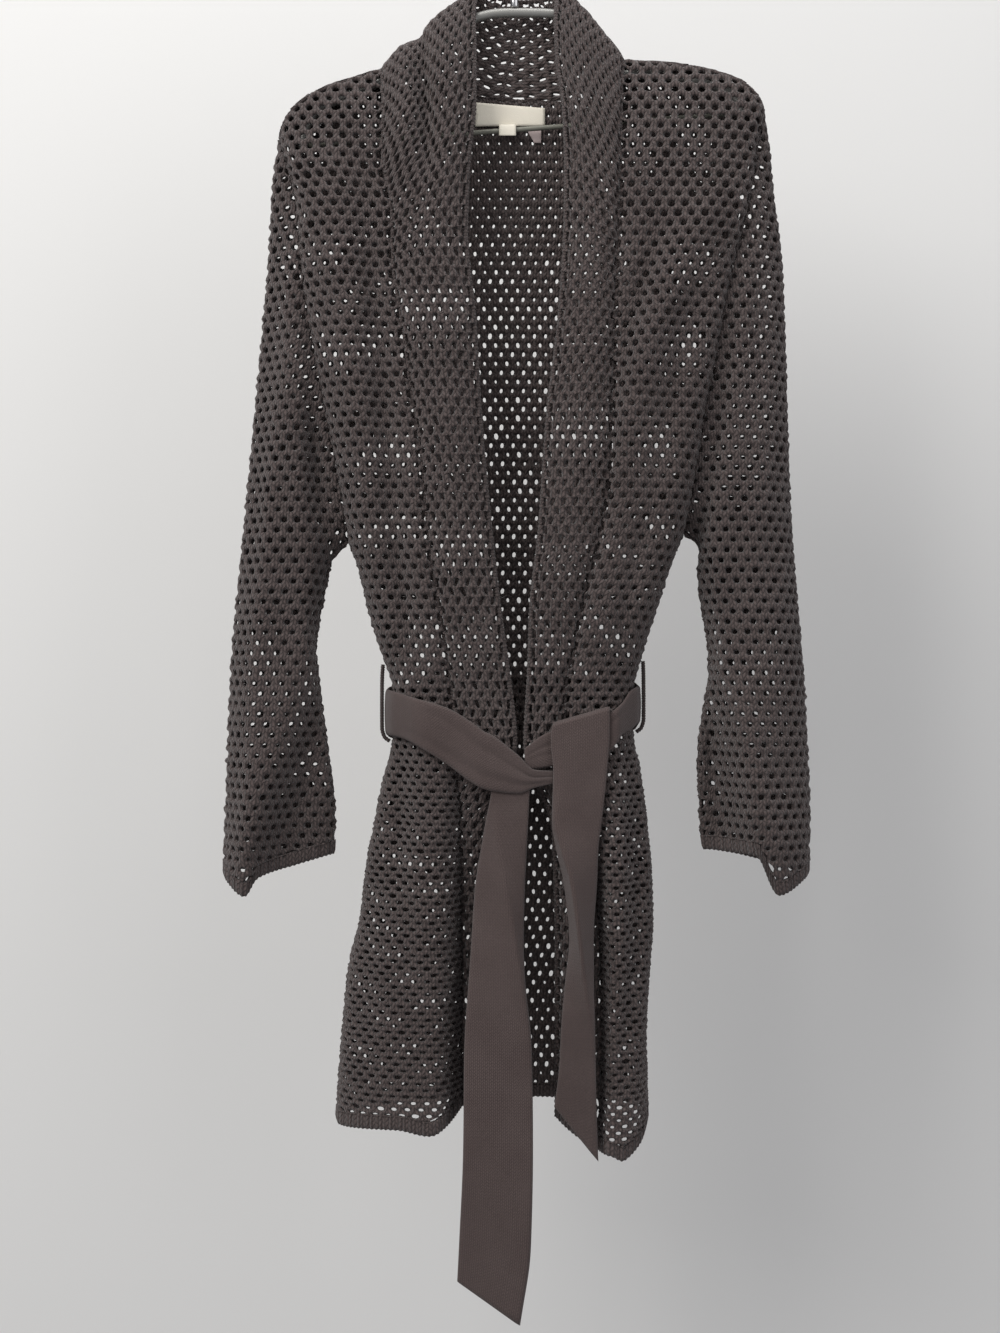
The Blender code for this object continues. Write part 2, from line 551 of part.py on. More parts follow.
def sharedNormals(panels):
    """Unit directions out of the cloth, and how well the faces at each point agree, from 0 to 1.
    Points that panels share at a seam get the same ones."""
    sums = {}
    counts = {}
    found = {}
    for name, panel in panels.items():
        direction, count = faceNormals(panel["grid"], panel["closed"])
        direction = direction * panel["turn"]
        places = panel["grid"].reshape(-1, 3)
        for place, way, faces in zip(places, direction.reshape(-1, 3), count.reshape(-1)):
            key = tuple(np.round(place, 3))
            sums[key] = sums.get(key, 0) + way
            counts[key] = counts.get(key, 0) + faces
    for name, panel in panels.items():
        shape = panel["grid"].shape
        keys = [tuple(np.round(place, 3)) for place in panel["grid"].reshape(-1, 3)]
        ways = np.array([sums[key] for key in keys])
        sizes = np.linalg.norm(ways, axis=1)
        agree = sizes / np.array([counts[key] for key in keys])
        found[name] = ((ways / sizes[:, None]).reshape(shape), agree.reshape(shape[:2]))
    return found


def drawnIn(grid, closed, agree):
    """The grid with its open edges pulled in, square to the seam, by half of its gap.
    Where the panels at a corner face different ways, the corner is pulled in further."""
    moved = grid.copy()
    reach = seamGap / 2 * (1 + cornerEase * (1 - agree))

    def pull(edge, inner, ring, far):
        if ring:
            along = np.roll(edge, -1, axis=0) - np.roll(edge, 1, axis=0)
        else:
            along = np.gradient(edge, axis=0)
        along = along / np.linalg.norm(along, axis=1, keepdims=True)
        way = inner - edge
        way = way - along * np.sum(way * along, axis=1, keepdims=True)
        return way * (far / np.linalg.norm(way, axis=1))[:, None]

    moved[0] += pull(grid[0], grid[1], closed, reach[0])
    moved[-1] += pull(grid[-1], grid[-2], closed, reach[-1])
    if not closed:
        moved[:, 0] += pull(grid[:, 0], grid[:, 1], False, reach[:, 0])
        moved[:, -1] += pull(grid[:, -1], grid[:, -2], False, reach[:, -1])
    return moved


def toWorld(points):
    return np.stack([points[..., 0], points[..., 2], -points[..., 1]], axis=-1) * mm


def addMesh(name, vertices, faces, material):
    mesh = bpy.data.meshes.new(name)
    mesh.from_pydata([tuple(v) for v in vertices], [], faces)
    mesh.materials.append(material)
    mesh.update()
    mesh.shade_smooth()
    mesh.set_sharp_from_angle(angle=math.radians(50))
    item = bpy.data.objects.new(name, mesh)
    bpy.context.scene.collection.objects.link(item)
    return item


def addWall(name, grid, normals, wall, closed, flip, material):
    """A closed wall on both sides of a grid of points."""
    rows, columns, _ = grid.shape
    outer = grid + normals * (wall / 2)
    inner = grid - normals * (wall / 2)
    vertices = np.concatenate([toWorld(outer).reshape(-1, 3), toWorld(inner).reshape(-1, 3)])
    count = rows * columns
    last = columns if closed else columns - 1
    faces = []

    def at(i, j, layer):
        return layer * count + i * columns + j % columns

    for i in range(rows - 1):
        for j in range(last):
            faces.append((at(i, j, 0), at(i + 1, j, 0), at(i + 1, j + 1, 0), at(i, j + 1, 0)))
            faces.append((at(i, j, 1), at(i, j + 1, 1), at(i + 1, j + 1, 1), at(i + 1, j, 1)))
    for j in range(last):
        faces.append((at(0, j, 1), at(0, j, 0), at(0, j + 1, 0), at(0, j + 1, 1)))
        end = rows - 1
        faces.append((at(end, j, 0), at(end, j, 1), at(end, j + 1, 1), at(end, j + 1, 0)))
    if not closed:
        for i in range(rows - 1):
            end = columns - 1
            faces.append((at(i, 0, 0), at(i, 0, 1), at(i + 1, 0, 1), at(i + 1, 0, 0)))
            faces.append((at(i, end, 1), at(i, end, 0), at(i + 1, end, 0), at(i + 1, end, 1)))
    if flip:
        faces = [face[::-1] for face in faces]
    return addMesh(name, vertices, faces, material)


def addCloth(material):
    """All knitted panels, from grids that share their seam points."""
    panels = {
        "front_left": {"grid": frontGrid("left"), "closed": False, "turn": -1},
        "front_right": {"grid": frontGrid("right"), "closed": False, "turn": 1},
        "back": {"grid": backGrid(), "closed": False, "turn": -1},
        "sleeve_left": {"grid": sleeveGrid("left"), "closed": True, "turn": 1},
        "sleeve_right": {"grid": sleeveGrid("right"), "closed": True, "turn": -1},
        "band_left": {"grid": bandGrid("left"), "closed": False, "turn": -1},
        "band_right": {"grid": bandGrid("right"), "closed": False, "turn": 1},
    }
    normals = sharedNormals(panels)
    for name, panel in panels.items():
        ways, agree = normals[name]
        grid = drawnIn(panel["grid"], panel["closed"], agree)
        offset = ways * agree[..., None]
        addWall(name, grid, offset, knitWall, panel["closed"], panel["turn"] < 0, material)
    return panels, normals


def addSheet(name, grid, wall, material):
    """A wall from a grid that shares no seam."""
    direction, _ = faceNormals(grid, False)
    direction /= np.linalg.norm(direction, axis=2, keepdims=True)
    return addWall(name, grid, direction, wall, False, False, material)


def slices(panels, normals, name, drops):
    """Across and depth of a panel's outer face at each of some heights."""
    grid = panels[name]["grid"] + normals[name][0] * (knitWall / 2)
    found = []
    for j in range(grid.shape[1]):
        column = grid[:, j]
        column = column[np.argsort(column[:, 1])]
        across = np.interp(drops, column[:, 1], column[:, 0])
        depth = np.interp(drops, column[:, 1], column[:, 2])
        found.extend(zip(across, depth))
    return found


def beltPlan(panels, normals):
    """Plan of the tight belt: the hull of the cloth that it ties in, moved out to the belt's middle.
    The points run evenly, counter-clockwise from the right side seam."""
    spots = []
    for name in ("back", "front_left", "front_right"):
        spots += slices(panels, normals, name, np.linspace(*planSides, 7))
    spots += slices(panels, normals, "back", np.linspace(*planBack, 9))
    for name in ("front_left", "front_right", "band_left", "band_right"):
        front = slices(panels, normals, name, np.linspace(*planFront["drops"], 11))
        spots += [spot for spot in front if planFront["left"] < spot[0] < planFront["right"]]
    spots = np.array(spots)
    angles = np.radians(np.arange(0, 360, 1.5))
    ways = np.stack([np.cos(angles), np.sin(angles)], axis=1)
    hull = spots[np.argmax(ways @ spots.T, axis=1)] + ways * (restGap + beltWall / 2)
    ring = np.concatenate([hull, hull[:1]])
    along = np.concatenate([[0], np.cumsum(np.linalg.norm(np.diff(ring, axis=0), axis=1))])
    at = np.arange(0, along[-1], planStep)
    ring = np.stack([np.interp(at, along, ring[:, 0]), np.interp(at, along, ring[:, 1])], axis=1)
    right = np.argmin(np.abs(ring[:, 1] - sideDepth) + (ring[:, 0] < 0) * 1000)
    return np.roll(ring, -right, axis=0)


def planStretch(plan, start, end, count):
    """Evenly spaced points of the plan between two of its indices."""
    picked = plan[np.round(np.linspace(start, end, count)).astype(int) % len(plan)]
    return picked.copy()


def stripGrid(places, upper, lower, crown):
    """A belt strip from its places in plan and the heights of its two edges."""
    t = np.linspace(0, 1, beltColumns + 1)[None, :]
    drop = mix(upper[:, None], lower[:, None], t)
    across = np.repeat(places[:, :1], beltColumns + 1, axis=1)
    depth = np.repeat(places[:, 1:], beltColumns + 1, axis=1)
    out = np.gradient(places, axis=0)
    out = np.stack([out[:, 1], -out[:, 0]], axis=1)
    out /= np.linalg.norm(out, axis=1, keepdims=True)
    swell = crown * np.sin(np.pi * t) ** 0.8
    across = across + out[:, :1] * swell
    depth = depth + out[:, 1:] * swell
    return np.stack([across, drop, depth], axis=-1)


def frontDepth(plan, across):
    """Depth of the tight belt's middle in front, at some places across."""
    front = plan[plan[:, 1] < sideDepth - 20]
    front = front[np.argsort(front[:, 0])]
    return np.interp(across, front[:, 0], front[:, 1])


def tailGrid(rows, plan):
    """A hanging end: each row runs from its left edge over the lengthwise fold to its right edge."""
    share = np.linspace(0, 1, tailColumns + 1)
    lines = []
    for drop, slant, left, leftOut, fold, foldOut, right, rightOut in rows:
        spots = np.array([(left, leftOut), (fold, foldOut), (right, rightOut)])
        lengths = np.linalg.norm(np.diff(spots, axis=0), axis=1)
        along = np.concatenate([[0], np.cumsum(lengths)]) / lengths.sum()
        across = np.interp(share, along, spots[:, 0])
        out = np.interp(share, along, spots[:, 1])
        tight = frontDepth(plan, across)
        depth = mix(tight, plan[:, 1].min(), ramp(drop, *tailFree)) - out
        lines.append(np.stack([across, drop + slant * share, depth], axis=1))
    return np.array(lines)


def smoothTail(rows, count):
    """More rows of a hanging end, by the same cubic as the other tables."""
    drops = np.array([row[0] for row in rows], float)
    fine = np.interp(np.linspace(0, 1, count), np.linspace(0, 1, len(drops)), drops)
    fine = np.unique(np.concatenate([fine, drops[:4]]))
    return np.concatenate([fine[:, None], alongTable(rows, fine)], axis=1)


def stripPlaces(plan, first, stop, count, rows):
    """Places in plan of a front strip, and the drops of its two edges."""
    step = 1 if first < stop else -1
    places = planStretch(plan, first, stop, count)
    found = alongTable(rows, places[:, 0])
    places[:, 1] -= found[:, 2] * beltLayer
    return places, found[:, 0], found[:, 1]


def addBelt(plan, material):
    """The tie belt: one strip behind, two in front that cross, and two hanging ends."""
    count = len(plan)
    left = int(np.argmin(np.abs(plan[:, 1] - sideDepth) + (plan[:, 0] > 0) * 1000))
    front = np.arange(left, count)
    leftEnd = front[np.argmin(np.abs(plan[front, 0] - beltLeft[-1][0]))]
    rightEnd = front[np.argmin(np.abs(plan[front, 0] - beltRight[-1][0]))]
    places, upper, lower = stripPlaces(plan, left + 1, leftEnd, 21, beltLeft)
    addSheet("belt_left", stripGrid(places, upper, lower, beltCrown), beltWall, material)
    places, upper, lower = stripPlaces(plan, count - 1, rightEnd, 17, beltRight)
    addSheet("belt_right", stripGrid(places, upper, lower, -beltCrown), beltWall, material)
    places = planStretch(plan, left - 1, 1, behindSteps)
    edges = alongTable(beltBehind, np.linspace(0, 1, behindSteps))
    behind = stripGrid(places, edges[:, 0], edges[:, 1], -beltCrown)
    addSheet("belt_behind", behind, beltWall, material)
    for name, rows, number in (("tail_left", tailLeft, 18), ("tail_right", tailRight, 16)):
        addSheet(name, tailGrid(smoothTail(rows, number), plan), beltWall, material)


def addTube(name, path, radii, sides, material):
    """A closed tube along points (across, drop, depth), with flat ends."""
    path = np.array(path, float)
    radii = np.full(len(path), radii) if np.isscalar(radii) else np.array(radii, float)
    way = np.gradient(path, axis=0)
    way /= np.linalg.norm(way, axis=1, keepdims=True)
    first = np.array([0, 0, 1.0])
    second = np.cross(way, first)
    second /= np.linalg.norm(second, axis=1, keepdims=True)
    third = np.cross(second, way)
    angles = np.arange(sides) * 2 * math.pi / sides
    ring = second[:, None] * np.cos(angles)[None, :, None] + third[:, None] * np.sin(angles)[None, :, None]
    points = path[:, None] + ring * radii[:, None, None]
    vertices = toWorld(points).reshape(-1, 3)
    faces = []
    for i in range(len(path) - 1):
        for j in range(sides):
            k = (j + 1) % sides
            faces.append((i * sides + j, (i + 1) * sides + j, (i + 1) * sides + k, i * sides + k))
    faces.append(tuple(range(sides)))
    faces.append(tuple((len(path) - 1) * sides + j for j in range(sides))[::-1])
    return addMesh(name, vertices, faces, material)


def smoothPath(spots, count):
    """Evenly shared points on a smooth curve through some spots."""
    spots = np.array(spots, float)
    gaps = np.linalg.norm(np.diff(spots, axis=0), axis=1)
    along = np.concatenate([[0], np.cumsum(gaps)])
    return alongTable(np.concatenate([along[:, None], spots], axis=1), np.linspace(0, along[-1], count))


def addCarriers(plan, material):
    """Thin knitted cords that hold the belt at the side seams."""
    for side, out in (("left", -1), ("right", 1)):
        top, bottom = carrierEnds[side]
        beltSide = plan[:, 0].min() if side == "left" else plan[:, 0].max()
        over = beltSide + out * (beltWall / 2 + restGap + loopCord / 2 + carrierSlack)
        onCloth = []
        for drop in (top, bottom):
            seam = alongTable(sideSeam[side], drop)
            onCloth.append(seam[0] + out * (knitWall / 2 + loopCord / 2 + restGap))
        spots = [(onCloth[0], top, sideDepth), (mix(onCloth[0], over, 0.7), top + 9, sideDepth),
                 (over, top + 20, sideDepth), (over, mix(top, bottom, 0.5), sideDepth - 1),
                 (over, bottom - 12, sideDepth), (mix(onCloth[1], over, 0.7), bottom - 4, sideDepth),
                 (onCloth[1], bottom, sideDepth)]
        addTube("belt_carrier_" + side, smoothPath(spots, 13), loopCord / 2, 6, material)


def armPath():
    """The bent arms of the hanger, from tip to tip under the shoulder ridges."""
    under = {}
    for side, first, last in (("left", -174, -122), ("right", 100, 182)):
        across = np.linspace(first, last, 6)
        drops = ridgeDrop(side, across) + armUnder
        under[side] = list(zip(across, drops))
    spots = armTips["left"][::-1] + under["left"] + armMiddle + under["right"] + armTips["right"]
    return [(x, drop, 0) for x, drop in spots]


def addHanger(material):
    path = armPath()
    addTube("hanger_arms", path, hangerArm / 2, 8, material)
    rod = [(*rodEnds[0], rodDepth), (*rodEnds[1], rodDepth)]
    addTube("hanger_rod", rod, hangerRod / 2, 8, material)
    wire = hookInside + hookWire / 2
    low, high = stemDrop
    spots = [(stemAcross, low, 0), (stemAcross, high, 0),
             (stemAcross, high - 1.2, 0), (stemAcross + 0.8, high - 3, 0),
             (stemAcross + 4, high - 4.4, 0)]
    radii = [hangerStem / 2, hangerStem / 2, hookWire / 2, hookWire / 2, hookWire / 2]
    for degrees in range(-64, 208, 12):
        angle = math.radians(degrees)
        spots.append((wire * math.cos(angle), hookInside - wire * math.sin(angle), 0))
        radii.append(hookWire / 2)
    addTube("hanger_hook", spots, radii, 8, material)


def depthInside(panels, normals, across, drop):
    """Depth of the inner face of the back at some places, found by looking at it from the front."""
    grid = panels["back"]["grid"] - (normals["back"][0] * normals["back"][1][..., None]) * (knitWall / 2)
    rows, columns, _ = grid.shape
    corners = [Vector(place) for place in grid.reshape(-1, 3)]
    faces = []
    for i in range(rows - 1):
        for j in range(columns - 1):
            k = i * columns + j
            faces.append((k, k + 1, k + columns + 1, k + columns))
    tree = BVHTree.FromPolygons(corners, faces)
    starts = [Vector((x, y, -200)) for x, y in zip(across.flat, drop.flat)]
    found = [tree.ray_cast(start, Vector((0, 0, 1)))[0][2] for start in starts]
    return np.array(found).reshape(across.shape)


def addLabels(panels, normals, material):
    """The blank neck label on the inside of the back, with its two small tabs."""
    u = np.linspace(0, 1, 8)[None, :]
    v = np.linspace(0, 1, 4)[:, None]
    across = mix(neckLabel["left"], neckLabel["right"], u) + 0 * v
    drop = mix(mix(*neckLabel["top"], u), mix(*neckLabel["bottom"], u), v)
    depth = depthInside(panels, normals, across, drop) - labelLift
    addSheet("neck_label", np.stack([across, drop, depth], axis=-1), labelWall, material)
    u = np.linspace(0, 1, 3)[None, :]
    path = np.array(sizeTab["path"])
    across = mix(sizeTab["left"], sizeTab["right"], u) + 0 * path[:, :1]
    drop = path[:, :1] + 0 * u
    depth = path[:, 1:] + 0 * u
    addSheet("size_tab", np.stack([across, drop, depth], axis=-1), labelWall, material)
    v = np.linspace(0, 1, 4)[:, None]
    across = mix(mix(*careTab["top"], u), mix(*careTab["bottom"], u), v)
    drop = mix(*careTab["drops"], v) + 0 * u
    depth = depthInside(panels, normals, across, drop) - labelLift
    addSheet("care_tab", np.stack([across, drop, depth], axis=-1), labelWall, material)


def main():
    clearScene()
    knit = makeMaterial("knitted_cotton", knitColour, 0.9, 0)
    tape = makeMaterial("rib_tape", beltColour, 0.85, 0)
    woven = makeMaterial("woven_label", labelColour, 0.7, 0)
    metal = makeMaterial("brushed_metal", metalColour, 0.35, 1)
    panels, normals = addCloth(knit)
    plan = beltPlan(panels, normals)
    addBelt(plan, tape)
    addCarriers(plan, knit)
    addLabels(panels, normals, woven)
    addHanger(metal)


main()
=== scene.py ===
import math
import bpy
import numpy as np
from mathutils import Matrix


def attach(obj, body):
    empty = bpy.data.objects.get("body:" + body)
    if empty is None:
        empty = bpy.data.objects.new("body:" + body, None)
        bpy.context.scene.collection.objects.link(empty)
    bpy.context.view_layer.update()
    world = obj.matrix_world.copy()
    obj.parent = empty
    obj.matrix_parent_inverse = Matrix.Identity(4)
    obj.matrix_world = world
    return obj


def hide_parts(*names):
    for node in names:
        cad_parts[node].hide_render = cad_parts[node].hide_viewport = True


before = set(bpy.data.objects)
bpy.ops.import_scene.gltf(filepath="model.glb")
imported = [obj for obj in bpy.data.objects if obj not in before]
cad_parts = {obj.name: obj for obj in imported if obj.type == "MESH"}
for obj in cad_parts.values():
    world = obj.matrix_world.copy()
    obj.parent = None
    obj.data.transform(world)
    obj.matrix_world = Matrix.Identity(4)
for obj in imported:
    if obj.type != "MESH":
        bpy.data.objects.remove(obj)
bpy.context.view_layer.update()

# Sizes are in millimetres: across is to the right, drop is down from the inside of the hook, depth is
# towards the wall. Points are turned to metres with +Z up when a mesh is made.
mm = 0.001
knitWall = 3.6
beltWall = 2.2
labelWall = 0.8
seamGap = 0.6
archDepth = 8.4       # half width of the cloth bent over the hanger
restGap = 0.5
hangerArm = 8.0
hangerRod = 4.4
hangerStem = 7.5
hookWire = 5.0
hookInside = 21.0
loopCord = 3.4

# The same forms as the solids, in finer rows and columns
shoulderRows = [0, 0.006, 0.014, 0.025, *np.linspace(0.04, 1, 44)]
skirtRows = list(np.linspace(0, 1, 57)[1:])
frontColumns = list(np.linspace(0, 1, 33))
neckColumns = list(np.linspace(0, 1, 25)[1:-1])
bandColumns = list(np.linspace(0, 1, 19))
sleeveRings = 64

# Shoulder ridge over the hanger, from the collar to the tip: across, drop
shoulderRidge = {
    "left": [(-209, 186), (-201, 171), (-183, 154), (-157, 141), (-120, 126)],
    "right": [(92, 118), (143, 123), (178, 132), (200, 143), (215, 159)],
}
# Seam between a front and its band, from the shoulder to the hem: drop, across, depth
bandSeam = {
    "left": [(126, -120, 0), (134, -119, -8.8), (149, -118, -15), (178, -117, -25), (211, -117, -32),
             (253, -109, -38), (308, -107, -42), (364, -98, -46), (405, -93, -48),
             (458, -84, -50), (543, -76, -51), (611, -66, -50), (669, -57, -47),
             (730, -52, -44), (808, -50, -36), (894, -49, -30), (982, -50, -24), (1032, -49, -20)],
    "right": [(118, 92, 0), (126, 91.5, -8.8), (141, 90, -15), (169, 89, -25), (211, 87, -32),
              (266, 85, -38), (322, 82, -42), (378, 80, -46), (433, 79, -48),
              (487, 77, -50), (541, 68, -51), (589, 56, -50), (634, 47, -48),
              (669, 40, -46), (700, 39, -46), (756, 50, -44), (832, 66, -42),
              (917, 72, -40), (1001, 72, -42), (1062, 67, -46)],
}
# Free edge of the band: drop, across, depth
bandEdge = {
    "left": [(53, -35, 4), (76, -39, -8), (116, -38, -20), (162, -38, -30), (216, -43, -38),
             (278, -45, -44), (353, -38, -49), (437, -33, -52), (536, -24, -54), (599, -17, -54),
             (656, -9, -52), (718, -3, -50), (792, -24, -36), (897, -22, -22), (1030, -16, -6)],
    "right": [(51, 37, 4), (80, 33, -8), (124, 34, -20), (162, 39, -30), (216, 41, -38),
              (278, 40, -44), (353, 35, -49), (438, 25, -52), (537, 18, -54), (599, 11, -54),
              (656, 9, -52), (718, 6, -50), (791, 30, -40), (894, 33, -34), (1040, 33, -26)],
}
# Front face between seam and side: drop, depth
frontFace = {
    "left": [(126, 0), (149, -16), (178, -28), (211, -36), (308, -47), (458, -56),
             (611, -57), (690, -50), (760, -56), (860, -60), (1046, -62)],
    "right": [(118, 0), (141, -16), (169, -28), (211, -37), (322, -50), (487, -60),
              (589, -60), (680, -51), (760, -57), (860, -62), (1062, -66)],
}
# Seam between a front and its sleeve: drop, across, depth
armhole = {
    "left": [(186, -209, 0), (194, -206, -8), (212, -201, -12), (247, -192, -19), (319, -185, -26), (361, -178, -28),
             (416, -168, -30), (472, -157, -30), (512, -150, -26), (541, -147, -14)],
    "right": [(159, 215, 0), (168, 214, -8), (190, 209, -12), (234, 202, -19), (280, 191, -24), (319, 181, -27),
              (375, 171, -29), (421, 161, -30), (472, 153, -30), (510, 147, -26), (534, 143, -14)],
}
# The same seam behind: drop, depth
armholeBehind = {
    "left": [(186, 0), (190, 8), (206, 9.5), (232, 11), (400, 12), (480, 8), (541, -14)],
    "right": [(159, 0), (163, 8), (179, 9.5), (205, 11), (400, 12), (476, 8), (534, -14)],
}
# Side seam from the armpit to the hem: drop, across, depth
sideSeam = {
    "left": [(541, -147, -14), (562, -139, -13), (603, -129, -12), (636, -119, -12), (671, -108, -12),
             (714, -108, -12), (751, -117, -12), (786, -124, -12), (822, -131, -12), (872, -137, -12),
             (908, -146, -12), (988, -154, -12), (1045, -158, -12)],
    "right": [(534, 143, -14), (559, 133, -13), (587, 124, -12), (618, 114, -12), (646, 105, -12),
              (671, 99, -12), (710, 99, -12), (739, 105, -12), (786, 111, -12), (833, 115, -12),
              (872, 116, -12), (913, 113, -12), (968, 110, -12), (1014, 111, -12), (1038, 112, -12)],
}
# How far the hem of a front hangs below a straight line: share of the way to the side, drop
hemSag = {
    "left": [(0, 0), (0.12, 9), (0.22, 13), (0.5, 5), (1, 0)],
    "right": [(0, 0), (0.25, 8), (0.5, 18), (0.8, 14), (1, 0)],
}
# Back neck seam: across, drop, depth, and the collar's top edge over it: share of the way, across, drop, depth
neckSeam = [(-120, 126, 0), (-108, 134, 9), (-98, 138, 10.5), (-43, 146, 12.5), (2, 149, 14), (48, 151, 13),
            (72, 139, 10.5), (80, 133, 9.5), (92, 118, 0)]
collarTop = [(0, -35, 53, 4), (0.25, -21, 57, 12), (0.5, 1, 61, 15), (0.75, 22, 60, 13), (1, 37, 51, 4)]
# Back panel: drop, depth
backFace = [(118, 11), (220, 15), (400, 19), (560, 19), (640, 12), (690, 8), (740, 12), (860, 18), (1045, 22)]
backHem = 1034        # drop of the hem at the middle of the back

# Sleeves. Outer and inner edges: drop, across, depth. Hem in front and behind: share, across, drop, depth
sleeveOuter = {
    "left": [(186, -209, 0), (218, -214, 0), (284, -218, 0), (417, -229, -4), (529, -239, -8),
             (655, -250, -12), (809, -255, -18), (830, -256, -18)],
    "right": [(159, 215, 0), (196, 220, 0), (240, 224, 0), (284, 230, 0), (329, 232, -2),
              (505, 237, -8), (692, 250, -14), (785, 253, -18), (830, 252, -18)],
}
sleeveInner = {
    "left": [(541, -147, -14), (558, -163, -12), (585, -169, -10), (639, -178, -8), (655, -177, -8),
             (727, -167, -8), (782, -161, -8), (814, -162, -8)],
    "right": [(534, 143, -14), (547, 160, -12), (568, 158, -10), (636, 167, -8), (655, 168, -8),
              (730, 158, -8), (786, 160, -8), (810, 163, -8)],
}
cuffFront = {
    "left": [(0, -256, 830, -18), (0.12, -250, 836, -32), (0.3, -234, 847, -46), (0.42, -224, 832, -40),
             (0.66, -195, 823, -24), (0.88, -170, 816, -14), (1, -162, 814, -8)],
    "right": [(0, 252, 830, -18), (0.12, 246, 834, -32), (0.32, 222, 846, -48), (0.5, 203, 812, -44),
              (0.7, 186, 811, -28), (0.88, 171, 810, -14), (1, 163, 810, -8)],
}
cuffBehind = {
    "left": [(0, -256, 830, -18), (0.1, -252, 830, -4), (0.35, -228, 826, 6), (0.65, -195, 820, 8),
             (0.9, -168, 815, 2), (1, -162, 814, -8)],
    "right": [(0, 252, 830, -18), (0.1, 248, 830, -4), (0.35, 226, 824, 6), (0.65, 195, 816, 8),
              (0.9, 168, 811, 2), (1, 163, 810, -8)],
}
sleeveFullness = {"front": 9, "behind": 6}

# Folds: a path of (across, drop) along each, its half width, and how far it lifts, or sinks when below 0
frontFolds = {
    "left": [
        {"path": [(-164, 240), (-150, 330), (-136, 430), (-124, 560)], "width": 17, "lift": 6},
        {"path": [(-136, 190), (-128, 260), (-118, 400), (-104, 560), (-88, 640)], "width": 13, "lift": -13},
        {"path": [(-101, 712), (-100, 760), (-104, 830)], "width": 9, "lift": -9},
        {"path": [(-76, 716), (-78, 800), (-84, 930)], "width": 13, "lift": 5},
        {"path": [(-124, 800), (-130, 900), (-134, 1000)], "width": 11, "lift": -4},
        {"path": [(-94, 640), (-98, 590), (-108, 530)], "width": 7, "lift": -4},
    ],
    "right": [
        {"path": [(170, 240), (128, 325), (100, 400), (80, 480)], "width": 15, "lift": 9},
        {"path": [(120, 272), (96, 360), (84, 430), (78, 470)], "width": 9, "lift": -8},
        {"path": [(150, 330), (128, 430), (104, 560)], "width": 10, "lift": -5},
        {"path": [(96, 722), (101, 800), (98, 900), (86, 1010)], "width": 8, "lift": -9},
        {"path": [(80, 720), (84, 820), (86, 900)], "width": 9, "lift": 5},
        {"path": [(84, 640), (92, 590), (104, 530)], "width": 7, "lift": -4},
    ],
}
backFolds = [
    {"path": [(-150, 190), (-120, 330), (-70, 520), (-58, 640)], "width": 20, "lift": 5},
    {"path": [(150, 180), (124, 330), (84, 520), (60, 640)], "width": 18, "lift": 6},
    {"path": [(-86, 560), (-74, 670), (-80, 800)], "width": 9, "lift": -5},
    {"path": [(-34, 600), (-30, 690), (-40, 860)], "width": 10, "lift": -6},
    {"path": [(22, 590), (20, 690), (30, 880)], "width": 10, "lift": -5},
    {"path": [(74, 560), (66, 680), (74, 820)], "width": 9, "lift": -6},
    {"path": [(-8, 720), (-6, 860), (-14, 1034)], "width": 18, "lift": 6},
    {"path": [(-104, 760), (-108, 880), (-112, 1036)], "width": 14, "lift": 5},
]
sleeveFolds = {
    "left": [
        {"path": [(-186, 330), (-189, 400), (-188, 480), (-184, 540), (-181, 600), (-180, 655)], "width": 15, "lift": 11},
        {"path": [(-186, 640), (-204, 715), (-228, 790), (-240, 826)], "width": 17, "lift": 14},
        {"path": [(-170, 655), (-180, 715), (-200, 790), (-208, 822)], "width": 13, "lift": -9},
        {"path": [(-176, 372), (-177, 430), (-176, 480), (-170, 528)], "width": 9, "lift": -15},
        {"path": [(-236, 420), (-228, 520), (-214, 620)], "width": 12, "lift": -4},
    ],
    "right": [
        {"path": [(194, 300), (184, 360), (179, 420), (176, 480), (173, 560), (172, 640)], "width": 15, "lift": 11},
        {"path": [(176, 640), (192, 715), (206, 783), (216, 812)], "width": 17, "lift": 14},
        {"path": [(162, 655), (170, 715), (178, 783), (184, 806)], "width": 12, "lift": -14},
        {"path": [(184, 345), (176, 400), (171, 450), (168, 490)], "width": 9, "lift": -12},
        {"path": [(228, 420), (222, 520), (208, 620)], "width": 12, "lift": -4},
    ],
}
sleeveFoldsBehind = {
    "left": [{"path": [(-200, 300), (-196, 440), (-206, 640)], "width": 12, "lift": -5},
             {"path": [(-224, 400), (-226, 560), (-214, 780)], "width": 14, "lift": 5}],
    "right": [{"path": [(200, 290), (196, 440), (200, 640)], "width": 12, "lift": -5},
              {"path": [(222, 400), (226, 560), (214, 780)], "width": 14, "lift": 5}],
}
bandFolds = {
    "left": [{"path": [(-88, 86), (-84, 112), (-80, 161), (-78, 225)], "width": 8, "lift": -13},
             {"path": [(-104, 112), (-102, 160), (-98, 240)], "width": 13, "lift": 4},
             {"path": [(-62, 78), (-60, 140), (-60, 230)], "width": 12, "lift": 3},
             {"path": [(-66, 260), (-60, 420), (-46, 600)], "width": 14, "lift": 2}],
    "right": [{"path": [(66, 100), (64, 150), (62, 220)], "width": 12, "lift": -3},
              {"path": [(60, 260), (52, 420), (38, 590)], "width": 14, "lift": 2}],
}
# Height of the rounded band over the line from its seam to its edge: drop, crown
bandCrown = [(51, 2), (118, 5), (211, 9), (458, 9), (600, 7), (680, 4), (760, 6), (900, 6), (1062, 6)]
neckCrown = 3

